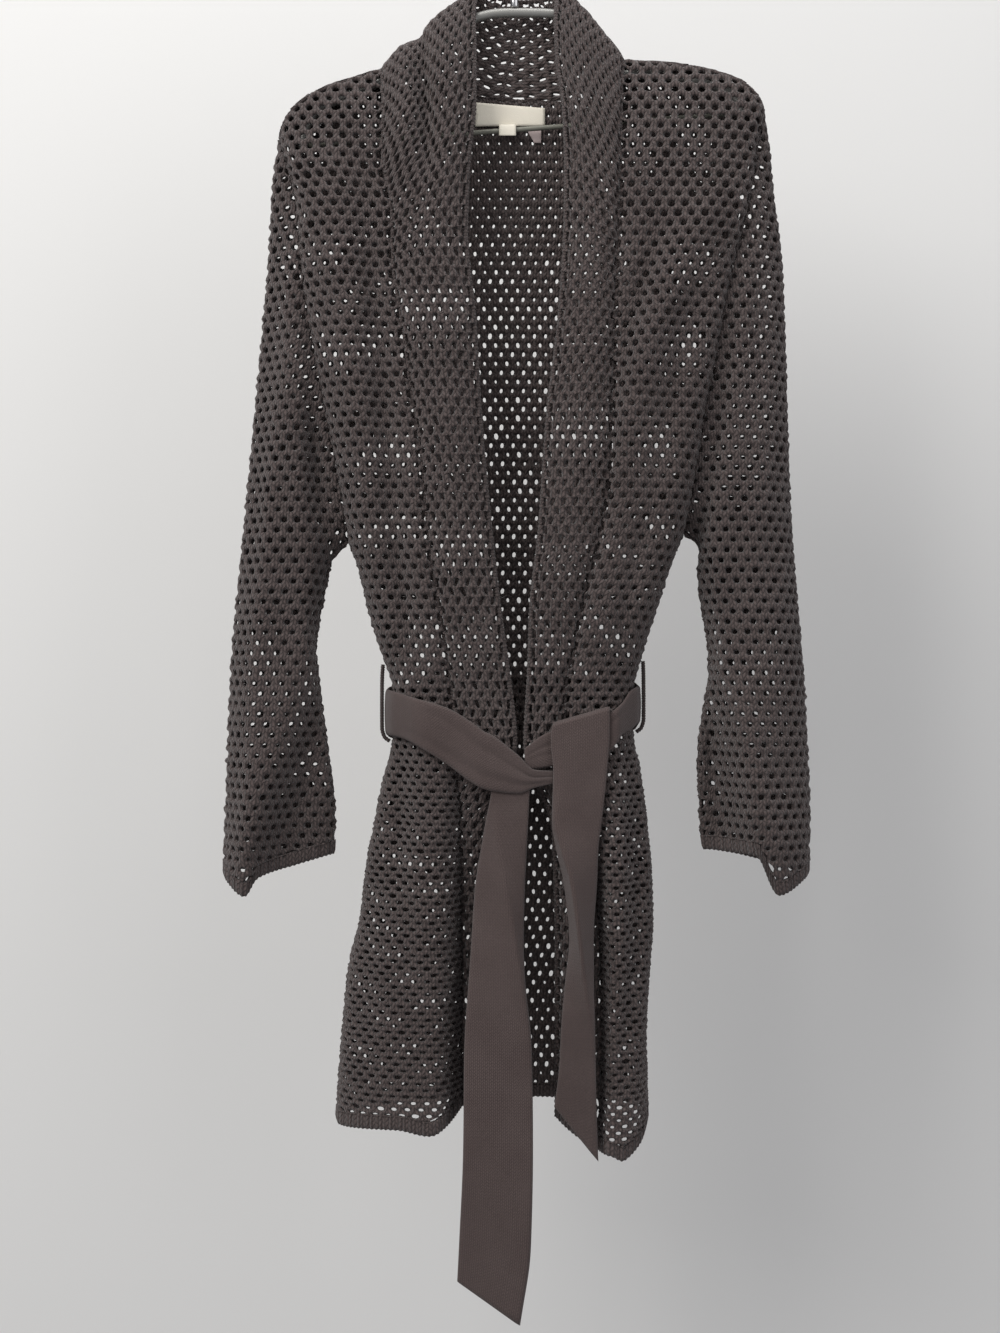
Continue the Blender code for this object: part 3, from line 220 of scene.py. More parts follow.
# Belt strips over the front: across, drop of the upper edge, drop of the lower edge, belt layers under it
beltLeft = [(-112, 671, 710, 0), (-104, 673, 711, 0), (-94, 676, 714, 0), (-79, 680, 722, 0), (-60, 686, 734, 0),
            (-41, 697, 748, 0.5), (-30, 705, 754, 1), (-22, 709, 756, 1), (-1, 725, 758, 1), (14, 738, 753, 1),
            (33, 739, 749, 1)]
beltRight = [(103, 668, 700, 0), (96, 672, 705, 0), (89, 681, 708, 0), (77, 690, 722, 0), (62, 698, 728, 0),
             (46, 702, 732, 0), (24, 707, 736, 0), (5, 720, 738, 0)]
# The belt round the back: share of the way from left to right, drop of the upper and of the lower edge
beltBehind = [(0, 671, 710), (0.2, 664, 719), (0.5, 661, 718), (0.8, 660, 716), (1, 668, 700)]
beltLayer = 3.4       # from one layer of the belt to the next
# Hanging ends: drop of the left edge and how much lower the right edge is, then across and depth in front
# of the belt for the left edge, the lengthwise fold and the right edge
tailLeft = [
    (744, 0, -22, 0, -14, 0, 10, 0),
    (762, 0, -24, 1, -19, 1, 9, 1),
    (782, 0, -28, 1, -19, 6, 8, 2),
    (800, 0, -31, 1, -17, 8, 7, 3),
    (839, 0, -37, 1, -11, 11, 5, 3),
    (884, 0, -40, 2, -3, 12, 4, 4),
    (912, 0, -42, 3, 1, 11, 5, 7),
    (976, 0, -46, 5, 9, 8, 11, 8),
    (1060, 0, -47, 4, 10, 6, 12, 6),
    (1130, 14, -50, 2, 8, 5, 10, 4),
    (1170, 37, -52, 2, -2, 4, 1, 3),
]
tailRight = [
    (699, -14, 29, 1.2, 35, 1.0, 77, 0.6),
    (702, -14, 28, 6.2, 34, 6.2, 77, 3.6),
    (712, -10, 27, 6.6, 34, 6.6, 77, 4.0),
    (739, -4, 29, 6.6, 37, 7.8, 75, 4.2),
    (781, 0, 28, 6.5, 31, 11, 70, 5),
    (806, 0, 32, 2, 37, 15, 67, 5),
    (832, 0, 38, 0, 44, 19, 66, 3),
    (881, 0, 43, 0, 51, 20, 63, 3),
    (920, 0, 39, 2, 56, 14, 63, 7),
    (953, 0, 36, 4, 60, 10, 64, 8),
    (990, 16, 34, 4, 62, 8, 65, 7),
    (1022, 46, 30, 4, 62, 6, 67, 5),
]
tailColumns = 6
tailFree = (760, 830)  # drops between which a hanging end leaves the plan of the tight belt
planStep = 0.4
beltCrown = 0.8
behindSteps = 43
beltColumns = 4
# Belt carriers: drop of the upper and lower end on each side
carrierEnds = {"left": (649, 716), "right": (646, 708)}
sideDepth = -12
carrierSlack = 1.3    # how far a carrier stands off the belt, more than restGap

# Hanger arms beyond the collar follow the shoulder ridge, this far under it
armUnder = 10.4
armMiddle = [(-108, 136), (-90, 125), (-69, 107), (-50, 89.5), (-34, 79), (-18, 76), (-4, 75.5), (20, 75.8),
             (39, 77.5), (52, 87), (61, 101), (70, 116), (80, 127.5), (88, 130.5)]
armTips = {"left": [(-185, 173), (-188.5, 183), (-189, 196.5)],
           "right": [(191, 151.5), (196, 160), (196.5, 169)]}
rodEnds = ((-184.1, 191.8), (191.6, 164.3))
rodDepth = 0
stemAcross = -3
stemDrop = (71.1, 47)

# Neck label and its two small tabs: across and drop of the corners
neckLabel = {"left": -38, "right": 24, "top": (151.5, 156.5), "bottom": (172.6, 172.2)}
sizeTab = {"left": -16.7, "right": -1.8,
           "path": [(173.0, 9.4), (173.6, 4), (174.3, -1.4), (175.6, -3.4), (179.5, -3.9), (184.6, -3.6)]}
careTab = {"top": (6.5, 21.0), "bottom": (14.5, 20.6), "drops": (173.1, 187.2)}
labelLift = 1.15      # from the inner face of the back to the middle of a label


def alongTable(rows, at):
    rows = np.array(rows, float)
    rows = rows[np.argsort(rows[:, 0])]
    keys = rows[:, 0]
    values = rows[:, 1:]
    at = np.clip(np.asarray(at, float), keys[0], keys[-1])
    steps = np.diff(keys)[:, None]
    slopes = np.diff(values, axis=0) / steps
    before = slopes[:-1]
    after = slopes[1:]
    same = before * after > 0
    total = np.where(same, before + after, 1)
    middle = np.where(same, 2 * before * after / total, 0)
    tangents = np.vstack([slopes[:1], middle, slopes[-1:]])
    k = np.clip(np.searchsorted(keys, at, side="right") - 1, 0, len(keys) - 2)
    h = steps[k]
    t = ((at - keys[k]) / h[..., 0])[..., None]
    low = values[k] * (2 * t**3 - 3 * t**2 + 1) + tangents[k] * h * (t**3 - 2 * t**2 + t)
    high = values[k + 1] * (3 * t**2 - 2 * t**3) + tangents[k + 1] * h * (t**3 - t**2)
    return low + high


def mix(a, b, share):
    return a + (b - a) * share


def ramp(value, low, high):
    t = np.clip((np.asarray(value, float) - low) / (high - low), 0, 1)
    return t * t * (3 - 2 * t)


def foldLift(points, folds):
    total = np.zeros(points.shape[:-1])
    place = points[..., :2]
    for fold in folds:
        path = np.array(fold["path"], float)
        lengths = np.linalg.norm(np.diff(path, axis=0), axis=1)
        starts = np.concatenate([[0], np.cumsum(lengths)])
        best = np.full(total.shape, 1e9)
        along = np.zeros(total.shape)
        for k, length in enumerate(lengths):
            way = (path[k + 1] - path[k]) / length
            offset = place - path[k]
            s = np.clip(offset @ way, 0, length)
            distance = np.linalg.norm(offset - s[..., None] * way, axis=-1)
            closer = distance < best
            best = np.where(closer, distance, best)
            along = np.where(closer, (starts[k] + s) / starts[-1], along)
        taper = np.sin(np.pi * np.clip(0.06 + 0.88 * along, 0, 1)) ** 0.6
        total += fold["lift"] * taper * np.exp(-((best / fold["width"]) ** 2))
    return total


def rowShares():
    upper = np.array(shoulderRows, float)
    lower = np.array(skirtRows, float)
    return upper, lower


def downCurve(top, armpit, hem, table):
    upper, lower = rowShares()
    drops = np.concatenate([mix(top, armpit, upper), mix(armpit, hem, lower)])
    found = alongTable(table, drops)
    return np.stack([found[:, 0], drops, found[:, 1]], axis=1)


def armpitDrop(side):
    return sideSeam[side][0][0]


def seamLine(side):
    table = bandSeam[side]
    return downCurve(table[0][0], armpitDrop(side), table[-1][0], table)


def sideLine(side):
    upper, lower = rowShares()
    top = armhole[side][0][0]
    armDrops = mix(top, armpitDrop(side), upper)
    hemDrops = mix(armpitDrop(side), sideSeam[side][-1][0], lower)
    arm = alongTable(armhole[side], armDrops)
    skirt = alongTable(sideSeam[side], hemDrops)
    drops = np.concatenate([armDrops, hemDrops])
    found = np.concatenate([arm, skirt])
    return np.stack([found[:, 0], drops, found[:, 1]], axis=1)


def ridgeDrop(side, across):
    return alongTable(shoulderRidge[side], across)[..., 0]


def armArch(below):
    return archDepth * np.sqrt(1 - (1 - np.clip(below / archDepth, 0, 1)) ** 2)


def frontGrid(side):
    seam = seamLine(side)[:, None, :]
    edge = sideLine(side)[:, None, :]
    u = np.array(frontColumns, float)[None, :]
    across = mix(seam[..., 0], edge[..., 0], u)
    drop = mix(seam[..., 1], edge[..., 1], u)
    upper, lower = rowShares()
    level = np.concatenate([upper, 1 + lower])[:, None]
    arch = ridgeDrop(side, across[:1]) - drop[:1]
    drop = drop + arch * np.clip(1 - level * 2.2, 0, 1) ** 2
    sag = alongTable(hemSag[side], u[0])[:, 0]
    drop = drop + sag[None, :] * ramp(level, 1.6, 2)
    face = alongTable(frontFace[side], drop)[..., 0]
    turn = 1 - (1 - u**2.6) ** (1 / 2.6)
    lipWidth = mix(0.20, 0.24, ramp(level, 1, 1.5))
    lip = (1 - np.clip(u / lipWidth, 0, 1)) ** 2
    depth = face + (edge[..., 2] - face) * turn + (seam[..., 2] - face) * lip * (1 - turn)
    inner = ramp(1 - u, 0, 0.12)
    depth = np.minimum(depth, -armArch(drop - drop[:1]) * inner)
    points = np.stack([across, drop, depth], axis=-1)
    free = ramp(u, 0, 0.12) * ramp(1 - u, 0, 0.14) * ramp(level, 0, 0.12)
    points[..., 2] -= foldLift(points, frontFolds[side]) * free
    points[:, 0] = seam[:, 0]
    points[:, -1] = edge[:, 0]
    return points


def backGrid():
    left = sideLine("left")
    right = sideLine("right")
    upper, lower = rowShares()
    split = len(upper)
    for side, line in (("left", left), ("right", right)):
        line[:split, 2] = alongTable(armholeBehind[side], line[:split, 1])[:, 0]
    ridgeLeft = frontGrid("left")[0][::-1]
    ridgeRight = frontGrid("right")[0]
    neckAcross = mix(neckSeam[0][0], neckSeam[-1][0], np.array(neckColumns, float))
    neck = alongTable(neckSeam, neckAcross)
    neck = np.stack([neckAcross, neck[:, 0], neck[:, 1]], axis=1)
    top = np.concatenate([ridgeLeft, neck, ridgeRight])
    share = (top[:, 0] - top[0, 0]) / (top[-1, 0] - top[0, 0])
    f = share[None, :]
    level = np.concatenate([upper, 1 + lower])[:, None]
    across = mix(left[:, None, 0], right[:, None, 0], f)
    drop = mix(left[:, None, 1], right[:, None, 1], f)
    arch = top[None, :, 1] - drop[:1]
    drop = drop + arch * np.clip(1 - level * 1.4, 0, 1) ** 1.6
    middle = backHem - mix(left[-1, 1], right[-1, 1], 0.5)
    drop = drop + middle * np.sin(np.pi * f) * ramp(level, 1.5, 2)
    face = alongTable(backFace, drop)[..., 0]
    side = mix(left[:, None, 2], right[:, None, 2], f)
    bulge = (1 - np.abs(2 * f - 1) ** 4.5) ** (1 / 4.5)
    depth = side + (face - side) * bulge
    below = drop - top[None, :, 1]
    settle = 1 - (1 - np.clip(below / 26, 0, 1)) ** 2.4
    depth = mix(top[None, :, 2], depth, settle)
    depth = np.maximum(depth, armArch(below) * ramp(np.abs(2 * f - 1), 1, 0.94))
    points = np.stack([across, drop, depth], axis=-1)
    free = ramp(f, 0, 0.07) * ramp(1 - f, 0, 0.07) * ramp(level, 0.02, 0.2)
    points[..., 2] += foldLift(points, backFolds) * free
    points[0] = top
    points[:, 0] = left
    points[:, -1] = right
    return points


def sleeveGrid(side):
    upper, _ = rowShares()
    split = len(upper)
    front = sideLine(side)[:split]
    behind = front.copy()
    behind[:, 2] = alongTable(armholeBehind[side], behind[:, 1])[:, 0]
    s = np.linspace(0, 1, sleeveRings + 1)
    outerDrops = mix(sleeveOuter[side][0][0], sleeveOuter[side][-1][0], s)
    innerDrops = mix(sleeveInner[side][0][0], sleeveInner[side][-1][0], s)
    outer = alongTable(sleeveOuter[side], outerDrops)
    inner = alongTable(sleeveInner[side], innerDrops)
    outer = np.stack([outer[:, 0], outerDrops, outer[:, 1]], axis=1)
    inner = np.stack([inner[:, 0], innerDrops, inner[:, 1]], axis=1)
    a = mix(upper, (1 - np.cos(np.pi * upper)) / 2, 0.6)[None, :, None]
    way = s[:, None, None]
    halves = []
    kinds = (
        (front, cuffFront[side], -sleeveFullness["front"], sleeveFolds[side], -1),
        (behind, cuffBehind[side], sleeveFullness["behind"], sleeveFoldsBehind[side], 1),
    )
    for hole, cuffTable, fullness, folds, out in kinds:
        cuff = alongTable(cuffTable, a[0, :, 0])
        points = mix(hole[None], cuff[None], way)
        points = points + (outer[:, None] - mix(outer[:1, None], outer[-1:, None], way)) * (1 - a)
        points = points + (inner[:, None] - mix(inner[:1, None], inner[-1:, None], way)) * a
        share = a[..., 0]
        swell = (4 * share * (1 - share)) ** 0.6 * np.sin(np.pi * way[..., 0] ** 0.8)
        points[..., 2] += fullness * swell
        free = ramp(share, 0, 0.12) * ramp(1 - share, 0, 0.1) * ramp(way[..., 0], 0, 0.08)
        points[..., 2] += out * foldLift(points, folds) * free
        halves.append(points)
    return np.concatenate([halves[0], halves[1][:, -2:0:-1]], axis=1)


def bandGrid(side):
    seam = seamLine(side)
    ends = bandEdge[side]
    lift = ends[0][0] - seam[0, 1]
    hemShift = ends[-1][0] - seam[-1, 1]
    fade = 1 - ramp(seam[:, 1], seam[0, 1], 330)
    edgeDrops = seam[:, 1] + lift * fade + hemShift * ramp(seam[:, 1], 800, seam[-1, 1])
    edge = alongTable(ends, edgeDrops)
    edge = np.stack([edge[:, 0], edgeDrops, edge[:, 1]], axis=1)
    crown = alongTable(bandCrown, seam[:, 1])[:, 0]
    neckShare = np.array(neckColumns, float)
    keep = neckShare <= 0.5 if side == "left" else neckShare >= 0.5
    neckShare = neckShare[keep]
    if side == "right":
        neckShare = neckShare[::-1]
    neckAcross = mix(neckSeam[0][0], neckSeam[-1][0], neckShare)
    neck = alongTable(neckSeam, neckAcross)
    neck = np.stack([neckAcross, neck[:, 0], neck[:, 1]], axis=1)
    collar = alongTable(collarTop, neckShare)
    seam = np.concatenate([seam[::-1], neck])
    edge = np.concatenate([edge[::-1], collar])
    crown = np.concatenate([crown[::-1], np.full(len(neck), neckCrown)])
    t = np.array(bandColumns, float)[None, :, None]
    points = mix(seam[:, None], edge[:, None], t)
    along = np.gradient(seam + edge, axis=0)
    over = edge - seam
    out = np.cross(along, over)
    out /= np.linalg.norm(out, axis=1, keepdims=True)
    if side == "left":
        out = -out
    swell = np.sin(np.pi * t[..., 0] ** 0.85) ** 0.75
    count = len(seam) - len(neck)
    level = np.concatenate([np.linspace(1, 0, count), np.full(len(neck), 0)])[:, None]
    flat = 1 - ramp(np.concatenate([np.zeros(count), np.arange(1, len(neck) + 1)]), 0, 2)[:, None]
    free = ramp(t[..., 0], 0, 0.25) * flat * np.ones_like(level)
    move = crown[:, None] * swell + foldLift(points, bandFolds[side]) * free
    return points + out[:, None, :] * move[..., None]


def toWorld(points):
    return np.stack([points[..., 0], points[..., 2], -points[..., 1]], axis=-1) * mm


def slices(panels, normals, name, drops):
    grid = panels[name]["grid"] + normals[name][0] * (knitWall / 2)
    found = []
    for j in range(grid.shape[1]):
        column = grid[:, j]
        column = column[np.argsort(column[:, 1])]
        across = np.interp(drops, column[:, 1], column[:, 0])
        depth = np.interp(drops, column[:, 1], column[:, 2])
        found.extend(zip(across, depth))
    return found


def beltPlan(panels, normals):
    spots = []
    for name in ("back", "front_left", "front_right"):
        spots += slices(panels, normals, name, np.linspace(664, 719, 7))
    spots += slices(panels, normals, "back", np.linspace(656, 724, 9))
    for name in ("front_left", "front_right", "band_left", "band_right"):
        front = slices(panels, normals, name, np.linspace(664, 762, 11))
        spots += [spot for spot in front if -90 < spot[0] < 84]
    spots = np.array(spots)
    angles = np.radians(np.arange(0, 360, 1.5))
    ways = np.stack([np.cos(angles), np.sin(angles)], axis=1)
    hull = spots[np.argmax(ways @ spots.T, axis=1)] + ways * (restGap + beltWall / 2)
    ring = np.concatenate([hull, hull[:1]])
    along = np.concatenate([[0], np.cumsum(np.linalg.norm(np.diff(ring, axis=0), axis=1))])
    at = np.arange(0, along[-1], planStep)
    ring = np.stack([np.interp(at, along, ring[:, 0]), np.interp(at, along, ring[:, 1])], axis=1)
    right = np.argmin(np.abs(ring[:, 1] - sideDepth) + (ring[:, 0] < 0) * 1000)
    return np.roll(ring, -right, axis=0)


def planStretch(plan, start, end, count):
    picked = plan[np.round(np.linspace(start, end, count)).astype(int) % len(plan)]
    return picked.copy()


def stripGrid(places, upper, lower, crown):
    t = np.linspace(0, 1, beltColumns + 1)[None, :]
    drop = mix(upper[:, None], lower[:, None], t)
    across = np.repeat(places[:, :1], beltColumns + 1, axis=1)
    depth = np.repeat(places[:, 1:], beltColumns + 1, axis=1)
    out = np.gradient(places, axis=0)
    out = np.stack([out[:, 1], -out[:, 0]], axis=1)
    out /= np.linalg.norm(out, axis=1, keepdims=True)
    swell = crown * np.sin(np.pi * t) ** 0.8
    across = across + out[:, :1] * swell
    depth = depth + out[:, 1:] * swell
    return np.stack([across, drop, depth], axis=-1)


def frontDepth(plan, across):
    front = plan[plan[:, 1] < sideDepth - 20]
    front = front[np.argsort(front[:, 0])]
    return np.interp(across, front[:, 0], front[:, 1])


def tailGrid(rows, plan):
    share = np.linspace(0, 1, tailColumns + 1)
    lines = []
    for drop, slant, left, leftOut, fold, foldOut, right, rightOut in rows:
        spots = np.array([(left, leftOut), (fold, foldOut), (right, rightOut)])
        lengths = np.linalg.norm(np.diff(spots, axis=0), axis=1)
        along = np.concatenate([[0], np.cumsum(lengths)]) / lengths.sum()
        across = np.interp(share, along, spots[:, 0])
        out = np.interp(share, along, spots[:, 1])
        tight = frontDepth(plan, across)
        depth = mix(tight, plan[:, 1].min(), ramp(drop, *tailFree)) - out
        lines.append(np.stack([across, drop + slant * share, depth], axis=1))
    return np.array(lines)


def smoothTail(rows, count):
    drops = np.array([row[0] for row in rows], float)
    fine = np.interp(np.linspace(0, 1, count), np.linspace(0, 1, len(drops)), drops)
    fine = np.unique(np.concatenate([fine, drops[:4]]))
    return np.concatenate([fine[:, None], alongTable(rows, fine)], axis=1)


def stripPlaces(plan, first, stop, count, rows):
    step = 1 if first < stop else -1
    places = planStretch(plan, first, stop, count)
    found = alongTable(rows, places[:, 0])
    places[:, 1] -= found[:, 2] * beltLayer
    return places, found[:, 0], found[:, 1]


def smoothPath(spots, count):
    spots = np.array(spots, float)
    gaps = np.linalg.norm(np.diff(spots, axis=0), axis=1)
    along = np.concatenate([[0], np.cumsum(gaps)])
    return alongTable(np.concatenate([along[:, None], spots], axis=1), np.linspace(0, along[-1], count))


def armPath():
    under = {}
    for side, first, last in (("left", -174, -122), ("right", 100, 182)):
        across = np.linspace(first, last, 6)
        drops = ridgeDrop(side, across) + armUnder
        under[side] = list(zip(across, drops))
    spots = armTips["left"][::-1] + under["left"] + armMiddle + under["right"] + armTips["right"]
    return [(x, drop, 0) for x, drop in spots]


# Colours and materials

def linear(hexColour):
    parts = [int(hexColour[k:k + 2], 16) / 255 for k in (0, 2, 4)]
    return [p / 12.92 if p <= 0.04045 else ((p + 0.055) / 1.055) ** 2.4 for p in parts] + [1]


def addNode(tree, kind, links=None, **settings):
    node = tree.nodes.new(kind)
    for key, value in settings.items():
        if hasattr(node, key):
            setattr(node, key, value)
        else:
            node.inputs[key.replace("_", " ")].default_value = value
    for socket, source in (links or {}).items():
        tree.links.new(source, node.inputs[socket])
    return node


def newMaterial(name):
    material = bpy.data.materials.new(name)
    material.use_nodes = True
    tree = material.node_tree
    tree.nodes.clear()
    return material, tree


def finishMaterial(tree, shader):
    output = addNode(tree, "ShaderNodeOutputMaterial")
    tree.links.new(shader.outputs[0], output.inputs[0])


def mathNode(tree, operation, a, b=None):
    node = addNode(tree, "ShaderNodeMath", operation=operation)
    for slotNumber, value in ((0, a), (1, b)):
        if isinstance(value, (int, float)):
            node.inputs[slotNumber].default_value = value
        elif value is not None:
            tree.links.new(value, node.inputs[slotNumber])
    return node.outputs[0]


def grainHeight(tree, wide, tall, lean, stray):
    # Stitch legs as rows of plump grains, wide and tall in metres, leaning to alternate sides
    strand = addNode(tree, "ShaderNodeUVMap", uv_map="strand")
    drift = addNode(tree, "ShaderNodeTexNoise", {"Vector": strand.outputs[0]}, Scale=160, Detail=1)
    parts = addNode(tree, "ShaderNodeSeparateXYZ", {0: strand.outputs[0]})
    astray = mathNode(tree, "MULTIPLY", drift.outputs["Fac"], stray)
    column = mathNode(tree, "ADD", mathNode(tree, "DIVIDE", parts.outputs[0], wide), astray)
    within = mathNode(tree, "FRACT", column)
    odd = mathNode(tree, "FLOORED_MODULO", mathNode(tree, "FLOOR", column), 2)
    sign = mathNode(tree, "SUBTRACT", mathNode(tree, "MULTIPLY", odd, 2), 1)
    slant = mathNode(tree, "MULTIPLY", mathNode(tree, "MULTIPLY", sign, within), lean)
    row = mathNode(tree, "ADD", mathNode(tree, "DIVIDE", parts.outputs[1], tall), slant)
    row = mathNode(tree, "FRACT", mathNode(tree, "ADD", row, astray))
    ridge = mathNode(tree, "SINE", mathNode(tree, "MULTIPLY", within, math.pi))
    grain = mathNode(tree, "SINE", mathNode(tree, "MULTIPLY", row, math.pi))
    return mathNode(tree, "MULTIPLY", mathNode(tree, "POWER", ridge, 0.6), mathNode(tree, "POWER", grain, 0.5))


def yarnMaterial(name, look):
    # Combed cotton yarn knitted into plump leaning grains, with shade painted into the colour between them, slightly
    # hairy
    material, tree = newMaterial(name)
    place = addNode(tree, "ShaderNodeTexCoord")
    blotch = addNode(tree, "ShaderNodeTexNoise", {"Vector": place.outputs["Object"]}, Scale=26, Detail=3)
    hair = addNode(tree, "ShaderNodeTexNoise", {"Vector": place.outputs["Object"]}, Scale=900, Detail=4,
                   Roughness=0.7)
    grains = grainHeight(tree, look["wide"], look["tall"], look["lean"], look["stray"])
    share = addNode(tree, "ShaderNodeMapRange", {"Value": blotch.outputs["Fac"]})
    share.inputs["From Min"].default_value = 0.3
    share.inputs["From Max"].default_value = 0.7
    # Painted shade: the yarn colour is darkened where the grains are low, down to this share, standing in for shadow
    # in the crevices
    depth = addNode(tree, "ShaderNodeMapRange", {"Value": grains})
    depth.inputs["To Min"].default_value = look["paintedShadeFloor"]
    speck = addNode(tree, "ShaderNodeMix", {"Factor": hair.outputs["Fac"]}, data_type="RGBA")
    speck.inputs["A"].default_value = linear(look["dark"])
    speck.inputs["B"].default_value = linear(look["light"])
    shade = addNode(tree, "ShaderNodeMix", {"Factor": share.outputs[0], "A": speck.outputs["Result"]},
                    data_type="RGBA", blend_type="MULTIPLY")
    shade.inputs["B"].default_value = (0.84, 0.82, 0.82, 1)
    # Painted shade: the yarn colour scaled down between the grains
    paintedCreviceShade = addNode(tree, "ShaderNodeVectorMath", {0: shade.outputs["Result"]}, operation="SCALE")
    tree.links.new(depth.outputs[0], paintedCreviceShade.inputs["Scale"])
    fuzz = mathNode(tree, "MULTIPLY", hair.outputs["Fac"], 0.35)
    bump = addNode(tree, "ShaderNodeBump", {"Height": mathNode(tree, "ADD", grains, fuzz)}, Strength=look["relief"],
                   Distance=look["deep"])
    shader = addNode(tree, "ShaderNodeBsdfPrincipled", {"Base Color": paintedCreviceShade.outputs[0],
                                                        "Normal": bump.outputs[0]}, Roughness=0.88)
    shader.inputs["Sheen Weight"].default_value = look["sheen"]
    shader.inputs["Sheen Roughness"].default_value = 0.5
    shader.inputs["Specular IOR Level"].default_value = 0.2
    finishMaterial(tree, shader)
    return material


# Widths and heights of one grain in metres, how far it leans and strays, how dark the shade painted between grains is,
# its relief
knitLook = {"wide": 0.0029, "tall": 0.0046, "lean": 0.55, "stray": 0.35, "paintedShadeFloor": 0.42, "dark": "3a3130", "light": "6e625f",
            "relief": 0.8, "deep": 0.0016, "sheen": 0.16}
ribLook = {"wide": 0.0014, "tall": 0.0026, "lean": 0.7, "stray": 0.2, "paintedShadeFloor": 0.6, "dark": "463b39", "light": "6b5d5a",
           "relief": 0.7, "deep": 0.0007, "sheen": 0.14}


def plainMaterial(name, colour, roughness, metallic=0.0, grain=0.0, grainScale=600):
    material, tree = newMaterial(name)
    place = addNode(tree, "ShaderNodeTexCoord")
    noise = addNode(tree, "ShaderNodeTexNoise", {"Vector": place.outputs["Object"]}, Scale=grainScale, Detail=3)
    bump = addNode(tree, "ShaderNodeBump", {"Height": noise.outputs["Fac"]}, Strength=grain, Distance=0.0004)
    shader = addNode(tree, "ShaderNodeBsdfPrincipled", {"Normal": bump.outputs[0]}, Roughness=roughness,
                     Metallic=metallic)
    shader.inputs["Base Color"].default_value = linear(colour)
    finishMaterial(tree, shader)
    return material


materials = {
    "knit": yarnMaterial("three-ply cotton yarn, knitted", knitLook),
    "rib": yarnMaterial("fine cotton rib tape, pressed flat", ribLook),
    "label": plainMaterial("woven satin label, cream", "e6dfcf", 0.6, 0.0, 0.4, 1500),
    "tab": plainMaterial("printed tape, grey pink", "b3a3a0", 0.7, 0.0, 0.3, 1500),
    "barMetal": plainMaterial("satin lacquered tube, grey", "8f8e8a", 0.42, 0.6, 0.1, 300),
    "rodMetal": plainMaterial("painted steel rod, olive grey", "77766c", 0.5, 0.3, 0.1, 300),
    "wireMetal": plainMaterial("chromed steel wire", "c9c9c9", 0.16, 1.0, 0.02, 300),
    "wall": plainMaterial("matt wall paint, pale grey", "dcdbd9", 0.95, 0.0, 0.05, 200),
}
print("materials made")


# Meshes

def addPiece(name, points, faces, material, nodes, uv=None, smooth=True):
    mesh = bpy.data.meshes.new(name)
    world = toWorld(points)
    mesh.from_pydata(world.tolist(), [], faces.tolist() if hasattr(faces, "tolist") else faces)
    if uv is not None:
        layer = mesh.uv_layers.new(name="strand")
        loops = np.empty(len(mesh.loops), int)
        mesh.loops.foreach_get("vertex_index", loops)
        layer.data.foreach_set("uv", (uv[loops] * mm).astype(np.float32).ravel())
    mesh.materials.append(material)
    mesh.update()
    if smooth:
        mesh.shade_smooth()
    piece = bpy.data.objects.new(name, mesh)
    bpy.context.scene.collection.objects.link(piece)
    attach(piece, "root")
    if nodes:
        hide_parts(*nodes)
    return piece


def pointNormals(grid, closed):
    ring = np.concatenate([grid[:, -1:], grid, grid[:, :1]], axis=1) if closed else grid
    down = np.gradient(ring, axis=0)
    over = np.gradient(ring, axis=1)
    normal = np.cross(down, over)
    normal /= np.maximum(np.linalg.norm(normal, axis=2, keepdims=True), 1e-9)
    return normal[:, 1:-1] if closed else normal


def withNormals(grid, turn, closed=False):
    return np.concatenate([grid, pointNormals(grid, closed) * turn], axis=2)


# Charts: rows of points every chartStep mm down a panel, each resampled evenly across in mm

chartStep = 2.0


def levelRows(sheet, border):
    # Horizontal cuts through a panel whose columns run down it; a column past its end stays at its end
    drops = np.arange(sheet[..., 1].min(), sheet[..., 1].max() + chartStep, chartStep)
    rows = np.zeros((len(drops), sheet.shape[1], 6))
    for j in range(sheet.shape[1]):
        keys = np.maximum.accumulate(sheet[:, j, 1])
        at = np.minimum(drops, keys[-1] - border)
        for c in range(6):
            rows[:, j, c] = np.interp(at, keys, sheet[:, j, c])
    return rows


def crossRows(sheet):
    # Cross sections of a strip, evenly along its middle
    middle = sheet[:, sheet.shape[1] // 2, :3]
    along = np.concatenate([[0], np.cumsum(np.linalg.norm(np.diff(middle, axis=0), axis=1))])
    at = np.arange(0, along[-1] + chartStep, chartStep)
    rows = np.zeros((len(at), sheet.shape[1], 6))
    for j in range(sheet.shape[1]):
        for c in range(6):
            rows[:, j, c] = np.interp(at, along, sheet[:, j, c])
    return rows


def makeChart(rows, zeroColumn):
    arcs = np.zeros(rows.shape[:2])
    arcs[:, 1:] = np.cumsum(np.linalg.norm(np.diff(rows[..., :3], axis=1), axis=2), axis=1)
    arcs -= arcs[:, zeroColumn][:, None]
    across = np.arange(arcs.min() - chartStep, arcs.max() + chartStep, chartStep)
    chart = np.zeros((len(rows), len(across), 6))
    for k in range(len(rows)):
        for c in range(6):
            chart[k, :, c] = np.interp(across, arcs[k], rows[k, :, c])
    return {"chart": chart, "first": across[0], "low": arcs[:, 0], "high": arcs[:, -1]}


def onChart(made, x, y):
    chart = made["chart"]
    a = np.clip(y / chartStep, 0, chart.shape[0] - 1.001)
    b = np.clip((x - made["first"]) / chartStep, 0, chart.shape[1] - 1.001)
    i = a.astype(int)
    j = b.astype(int)
    f = (a - i)[..., None]
    g = (b - j)[..., None]
    upper = mix(chart[i, j], chart[i, j + 1], g)
    lower = mix(chart[i + 1, j], chart[i + 1, j + 1], g)
    found = mix(upper, lower, f)
    found[..., 3:] /= np.maximum(np.linalg.norm(found[..., 3:], axis=-1, keepdims=True), 1e-9)
    return found


